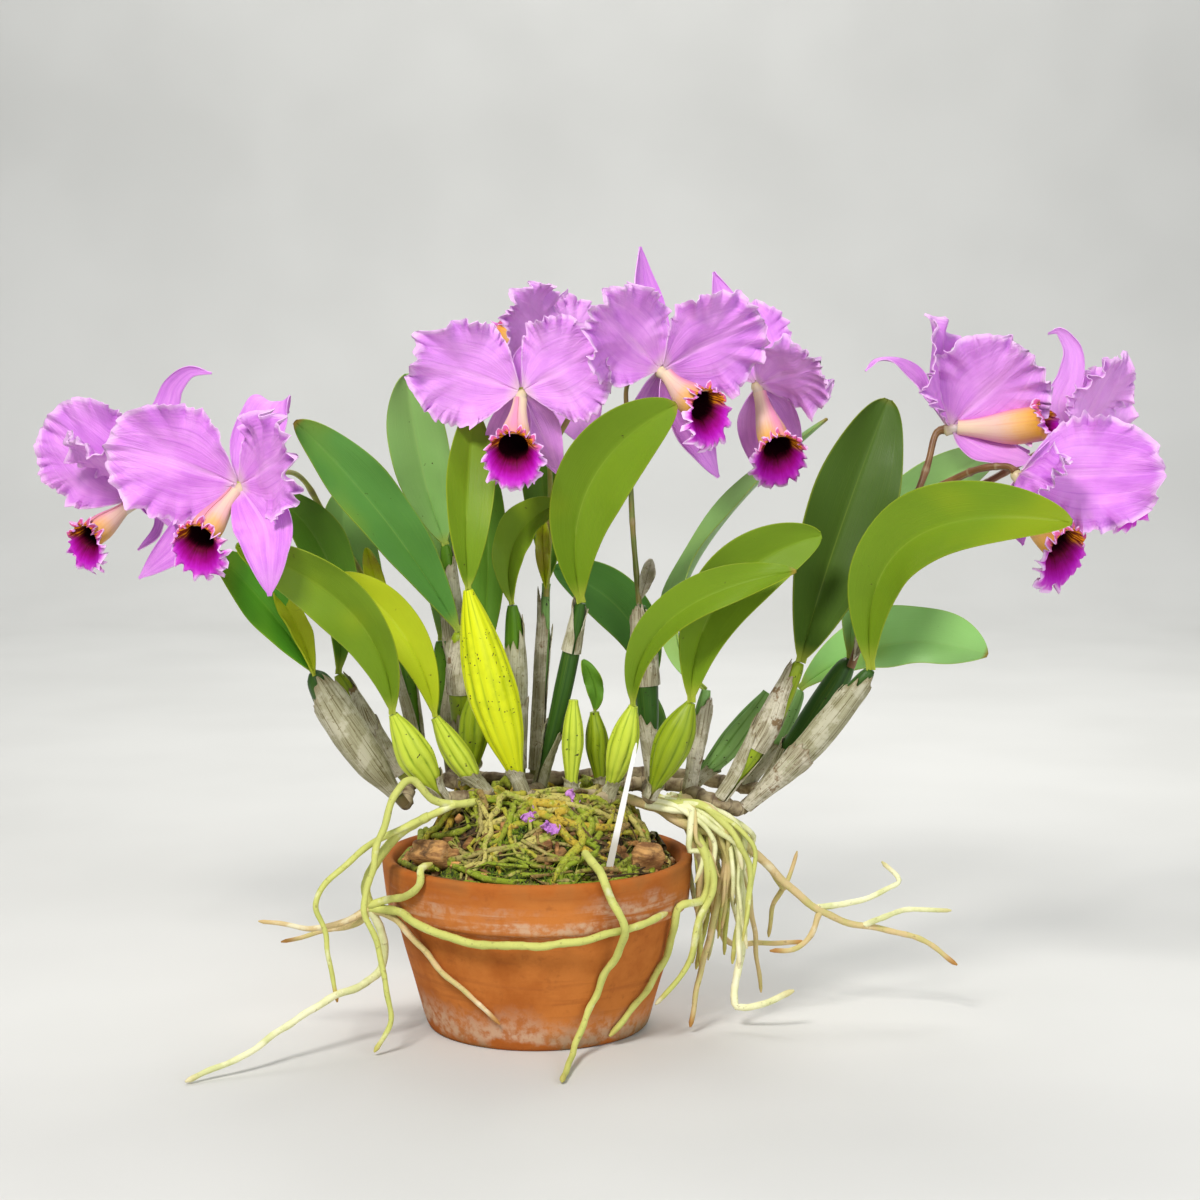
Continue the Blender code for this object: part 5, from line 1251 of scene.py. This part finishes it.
# %% Moss and fallen petals
def spikes(shells, bases, ways, thick, tints):
    """Three-sided pyramids, all in one go: base corners round the way, and a tip."""
    side = unit(np.cross(ways, (0.31, 0.52, 0.8)))
    other, turn = unit(np.cross(ways, side)), around(3)[:, None]
    ring = side[:, None] * np.cos(turn) + other[:, None] * np.sin(turn)
    corners = bases[:, None] + thick[:, None, None] * ring
    places = np.concatenate([corners, (bases + ways)[:, None]], 1)
    first = np.arange(len(bases))[:, None, None] * 4
    faces = (first + np.array([[0, 1, 3], [1, 2, 3], [2, 0, 3], [2, 1, 0]])).reshape(-1, 3)
    # The mask is 1 at the tip and 0 at the base, where the moss finish paints shade.
    mask = np.tile([[0, 0, 0, 0]] * 3 + [[1, 0, 0, 0]], (len(bases), 1))
    shells.add(places, [faces], [np.zeros((len(faces), 3, 2))], mask, np.repeat(tints, 4, 0))


f = Finish("moss")
# Painted shade: each spike is darkened toward its base and has full colour at its tip.
f.ground(f.span(f.masks()[0], 0.0, 1.0), f.mix(1.0, f.tint(), (0.25, 0.3, 0.3), "MULTIPLY"), f.tint())
MOSS = f.end(0.8)
GREENS = np.array([(0.22, 0.36, 0.005, 1), (0.38, 0.52, 0.01, 1), (0.12, 0.22, 0.004, 1)])
TRIED = 13000
reach = 102 * np.sqrt(draw.uniform(0.12, 1, TRIED))
azimuth = draw.uniform(0, 2 * np.pi, TRIED)
spot = np.stack([reach * np.cos(azimuth), reach * np.sin(azimuth)], -1)
front = (np.abs(azimuth - np.radians(272)) < 0.5) & (reach > FLAT_RADIUS)
kept = grain(spot, 30, 8) + 0.5 * grain(spot, 10, 9) + 0.9 * front > 0.25
spot, reach, front, count = spot[kept], reach[kept], front[kept], kept.sum()
base = np.column_stack([spot, fill_height(reach) + lumps(spot) - 0.4 + front * draw.uniform(0, 5, count)])
way = unit(draw.normal(size=(count, 3)) * 0.5 + UP) * draw.uniform(1.6, 4.2, (count, 1))
green = GREENS[draw.integers(3, size=count)]
fuzz = Shells()
spikes(fuzz, base, way, draw.uniform(0.35, 0.8, count), green)
fuzz.piece("moss_fuzz", [MOSS], None, "growing_medium")

FADED = np.array([(24, -52, 171), (-4, -68, 166), (12, -74, 161)])
u, v = np.meshgrid(np.linspace(-1, 1, 9), np.linspace(-1, 1, 9), indexing="ij")
faded = Shells()
for number in range(9):
    place = FADED[number % 3] + draw.normal(0, 3, 3)
    axes = np.linalg.qr(draw.normal(size=(3, 3)))[0]
    crumple = 1.6 * grain(np.stack([u, v], -1), 1.1, number)
    local = np.stack([u * 5, v * 3.4 * np.sqrt(1.05 - u ** 2), crumple], -1)
    sheet(faded, place + local @ axes, 0.5, (0.9, 0.5, 0, 0.3), (0.6, 0, 0))
faded.piece("faded_petals", [PETAL], None, "petal")

# %% [markdown]
# Fired clay is matt, orange brown, and has fine rings from its turning. Lime has bloomed in two
# pale belts, water has stained it, and its foot is damp. All of that depends on the height, so the
# material reads the height in the piece's own space and moves it up and down with noise. Painting
# would take the same belts once, and not follow when the pan's height is changed.

# %% Terracotta
f = Finish("terracotta")
height, cloud, fine = f.coordinates(axis=2), f.noise(16, 5, 0.62), f.noise(140, 4)
turned, streak = f.noise((3, 3, 320)), f.noise((9, 9, 130), 4)
f.ground(f.span(cloud, 0.35, 0.65), (0.42, 0.115, 0.018), (0.58, 0.19, 0.038))
f.coat(f.span(fine, 0.55, 0.75, 0.0, 0.35), (0.28, 0.075, 0.016))
f.coat(f.span(streak, 0.52, 0.70, 0.0, 0.45), (0.36, 0.10, 0.022))
wave = f.stray(height, cloud, 0.05)
band = f.times(f.span(wave, 0.088, 0.095), f.span(wave, 0.116, 0.099))
band = f.times(band, f.span(streak, 0.40, 0.56, 0.1, 1.0))
foot = f.times(f.span(wave, 0.0, 0.006), f.span(wave, 0.036, 0.008))
lime = f.times(f.math("MAXIMUM", band, foot), f.span(fine, 0.34, 0.60, 0.15, 1.0))
f.coat(f.times(lime, 0.7), (0.66, 0.47, 0.32))
damp = f.times(f.span(height, 0.018, 0.0), f.span(cloud, 0.4, 0.6))
f.coat(f.times(damp, 0.7), (0.10, 0.09, 0.03))
stain = f.times(f.span(height, 0.108, 0.126), f.span(cloud, 0.40, 0.60))
f.coat(f.times(stain, 0.6), (0.26, 0.10, 0.025))
f.bump(f.math("ADD", f.times(turned, 0.6), fine), 0.25, 0.0012)
CLAY = f.end(0.84, Specular_IOR_Level=0.15)

# %% [markdown]
# The terracotta pan is a turned profile: floor, inner wall, rounded rim, thick band with an
# undercut, sloping body and foot. A Screw modifier would turn the same profile, but the numbers let
# the wall wobble a little, as hand-turned clay does. Its four drain holes are cut with a Boolean,
# because a hole across the rings is the one form that turning can't give.

# %% Pan
band_foot = PAN_HEIGHT - RIM_BAND
corner = [(6, FLOOR), (inner_radius(FLOOR), FLOOR), (inner_radius(60), 60), (106, PAN_HEIGHT - 3),
          (108, PAN_HEIGHT - 0.4), (113, PAN_HEIGHT), (RIM_RADIUS, PAN_HEIGHT - 2.4), (114.6, PAN_HEIGHT - 7),
          (pan_radius(band_foot) + 0.3, band_foot + 3), (pan_radius(band_foot) - 1, band_foot),
          (pan_radius(band_foot - 1), band_foot - 0.5), (pan_radius(band_foot - 5), band_foot - 4),
          (pan_radius(40), 40), (pan_radius(4), 4), (FOOT_RADIUS - 0.8, 0.6), (FOOT_RADIUS - 3, 0), (6, 0)]
outline = np.vstack([np.linspace(a, b, max(2, int(np.hypot(*np.subtract(b, a)) / 3.4)), endpoint=False)
                     for a, b in zip(corner, corner[1:])] + [[corner[-1]]])
around_it = np.pad(outline, ((1, 1), (0, 0)), "edge")
soft = 0.25 * around_it[:-2] + 0.5 * outline + 0.25 * around_it[2:]
r, z, turn = soft[:, :1], soft[:, 1:], around(128)
wobble = 0.25 * grain(channels(np.cos(turn), np.sin(turn), z / 50)[..., :3], 1.2, 4)
pan = Shells()
lathe(pan, r - 0.3 + wobble * (r > 20), z, turn)
pot = pan.piece("terracotta_pan", [CLAY], "pot", "terracotta", sharp=40)
DRAIN_RADIUS, DRAIN_CIRCLE = 0.006, 0.045
for angle in np.radians((45, 135, 225, 315)):
    place = (DRAIN_CIRCLE * np.cos(angle), DRAIN_CIRCLE * np.sin(angle), 0.005)
    bpy.ops.mesh.primitive_cylinder_add(vertices=32, radius=DRAIN_RADIUS, depth=0.03, location=place)
    cutter = bpy.context.active_object
    hole = pot.modifiers.new("drain", "BOOLEAN")
    hole.operation, hole.object = "DIFFERENCE", cutter
    bpy.context.view_layer.update()
    drilled = bpy.data.meshes.new_from_object(pot.evaluated_get(bpy.context.evaluated_depsgraph_get()))
    pot.modifiers.clear()
    pot.data = drilled
    bpy.data.objects.remove(cutter)
print("pan faces:", len(pot.data.polygons))

# %% [markdown]
# A blank white plastic label stands in the bark. A thin box would do for a new one, but this one is
# slightly bowed and pointed, and dirt has crept up from the bark, so it is a small sheet.

# %% Label stake
f = Finish("white plastic")
f.ground(f.span(f.noise(70), 0.5, 0.75, 0.0, 0.35), (0.80, 0.79, 0.76), (0.55, 0.52, 0.44))
f.coat(f.span(f.coordinates(axis=2), 0.160, 0.146, 0.0, 0.6), (0.30, 0.26, 0.16))
PLASTIC = f.end(0.4)
u, v = np.linspace(0, 1, 30), np.linspace(-1, 1, 7)
high, low = np.array((72, -52, 218.0)), np.array((54, -72, 138.0))
line = high + np.outer(u, (low - high) * 1.17)
along = unit(low - high)
across = unit(np.cross(along, (0, -1, 0.2)))
half = 2.5 * np.interp(u, (0, 0.05, 0.5, 0.9, 1), (0.2, 0.5, 0.85, 1, 0.4))
bowed = line + np.outer(0.5 * np.sin(3 * u), np.cross(across, along))
stake = Shells()
sheet(stake, bowed[:, None] + across * np.outer(half, v)[..., None], 1.1, 0, WHITE)
stake.piece("label_stake_white", [PLASTIC], "label_stake", "label")

# %% [markdown]
# The stage is a pale floor that curves up into a backdrop. It isn't part of the orchid. The photo
# has soft shadows, so area lights stand in for its light: a warm key from the left, a wider and
# cooler fill from the right, one from behind for the petals' edges, and one for the backdrop. A sky
# picture could light it too, but then the shadows would come from it and not from a number here.

# %% Stage, light and camera
f = Finish("plain floor")
f.ground(f.span(f.noise(3, 2, 0.5), 0.3, 0.7), (0.62, 0.62, 0.60), (0.66, 0.66, 0.64))
sweep = np.linspace(0, np.pi / 2, 24)
depth = np.concatenate([[-14.0, 2.4], 2.4 + 0.9 * np.sin(sweep), [3.3]])
rise = np.concatenate([[0.0, 0.0], 0.9 - 0.9 * np.cos(sweep), [5.0]])
floor = bpy.data.meshes.new("studio_floor")
floor.from_pydata([(x, y, z) for y, z in zip(depth, rise) for x in (-14.0, 14.0)],
                  [], [(2 * i, 2 * i + 1, 2 * i + 3, 2 * i + 2) for i in range(len(depth) - 1)])
floor.materials.append(f.end(0.9))
floor.shade_smooth()
ground = bpy.data.objects.new("studio_floor", floor)
bpy.context.scene.collection.objects.link(ground)
ground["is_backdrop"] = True

world = bpy.data.worlds.new("soft sky")
world.use_nodes = True
world.node_tree.nodes["Background"].inputs["Color"].default_value = (0.90, 0.95, 1.0, 1)
world.node_tree.nodes["Background"].inputs["Strength"].default_value = 0.32
bpy.context.scene.world = world
PLANT, BACKDROP = (0.03, 0, 0.3), (0.05, 3.3, 0.7)
for label, place, aim, width, power, warmth in (
        ("key", (-0.7, -1.6, 1.9), PLANT, 0.55, 47, (1.0, 0.97, 0.93)),
        ("fill", (1.3, -1.8, 1.0), PLANT, 1.4, 18, (0.94, 0.97, 1.0)),
        ("back", (0.5, 1.1, 1.9), PLANT, 1.2, 20, (1.0, 0.98, 0.94)),
        ("wall", (0.05, 1.9, 2.6), BACKDROP, 2.2, 42, (1.0, 0.99, 0.97))):
    light = bpy.data.lights.new(label, "AREA")
    light.size, light.energy, light.color = width, power, warmth
    lamp = bpy.data.objects.new(label, light)
    lamp.location = place
    lamp.rotation_euler = (Vector(aim) - lamp.location).to_track_quat("-Z", "Y").to_euler()
    bpy.context.scene.collection.objects.link(lamp)

camera = bpy.data.objects.new("camera", bpy.data.cameras.new("camera"))
camera.location = (0.046, -1.866, 0.525)
camera.rotation_euler = (np.radians(90 - 6.42), 0, 0)
camera.data.lens = 77.1
camera.data.sensor_width = 36
bpy.context.scene.collection.objects.link(camera)
bpy.context.scene.camera = camera
bpy.context.scene.view_settings.view_transform = "Standard"

faces = [face for thing in bpy.data.objects if thing.type == "MESH" for face in thing.data.polygons]
print("triangles in all:", sum(len(face.vertices) - 2 for face in faces))
size = {"cad": [list(corner) for corner in cad_box], "visual": [list(corner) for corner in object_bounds()]}
print("CAD box and visual box:", size)
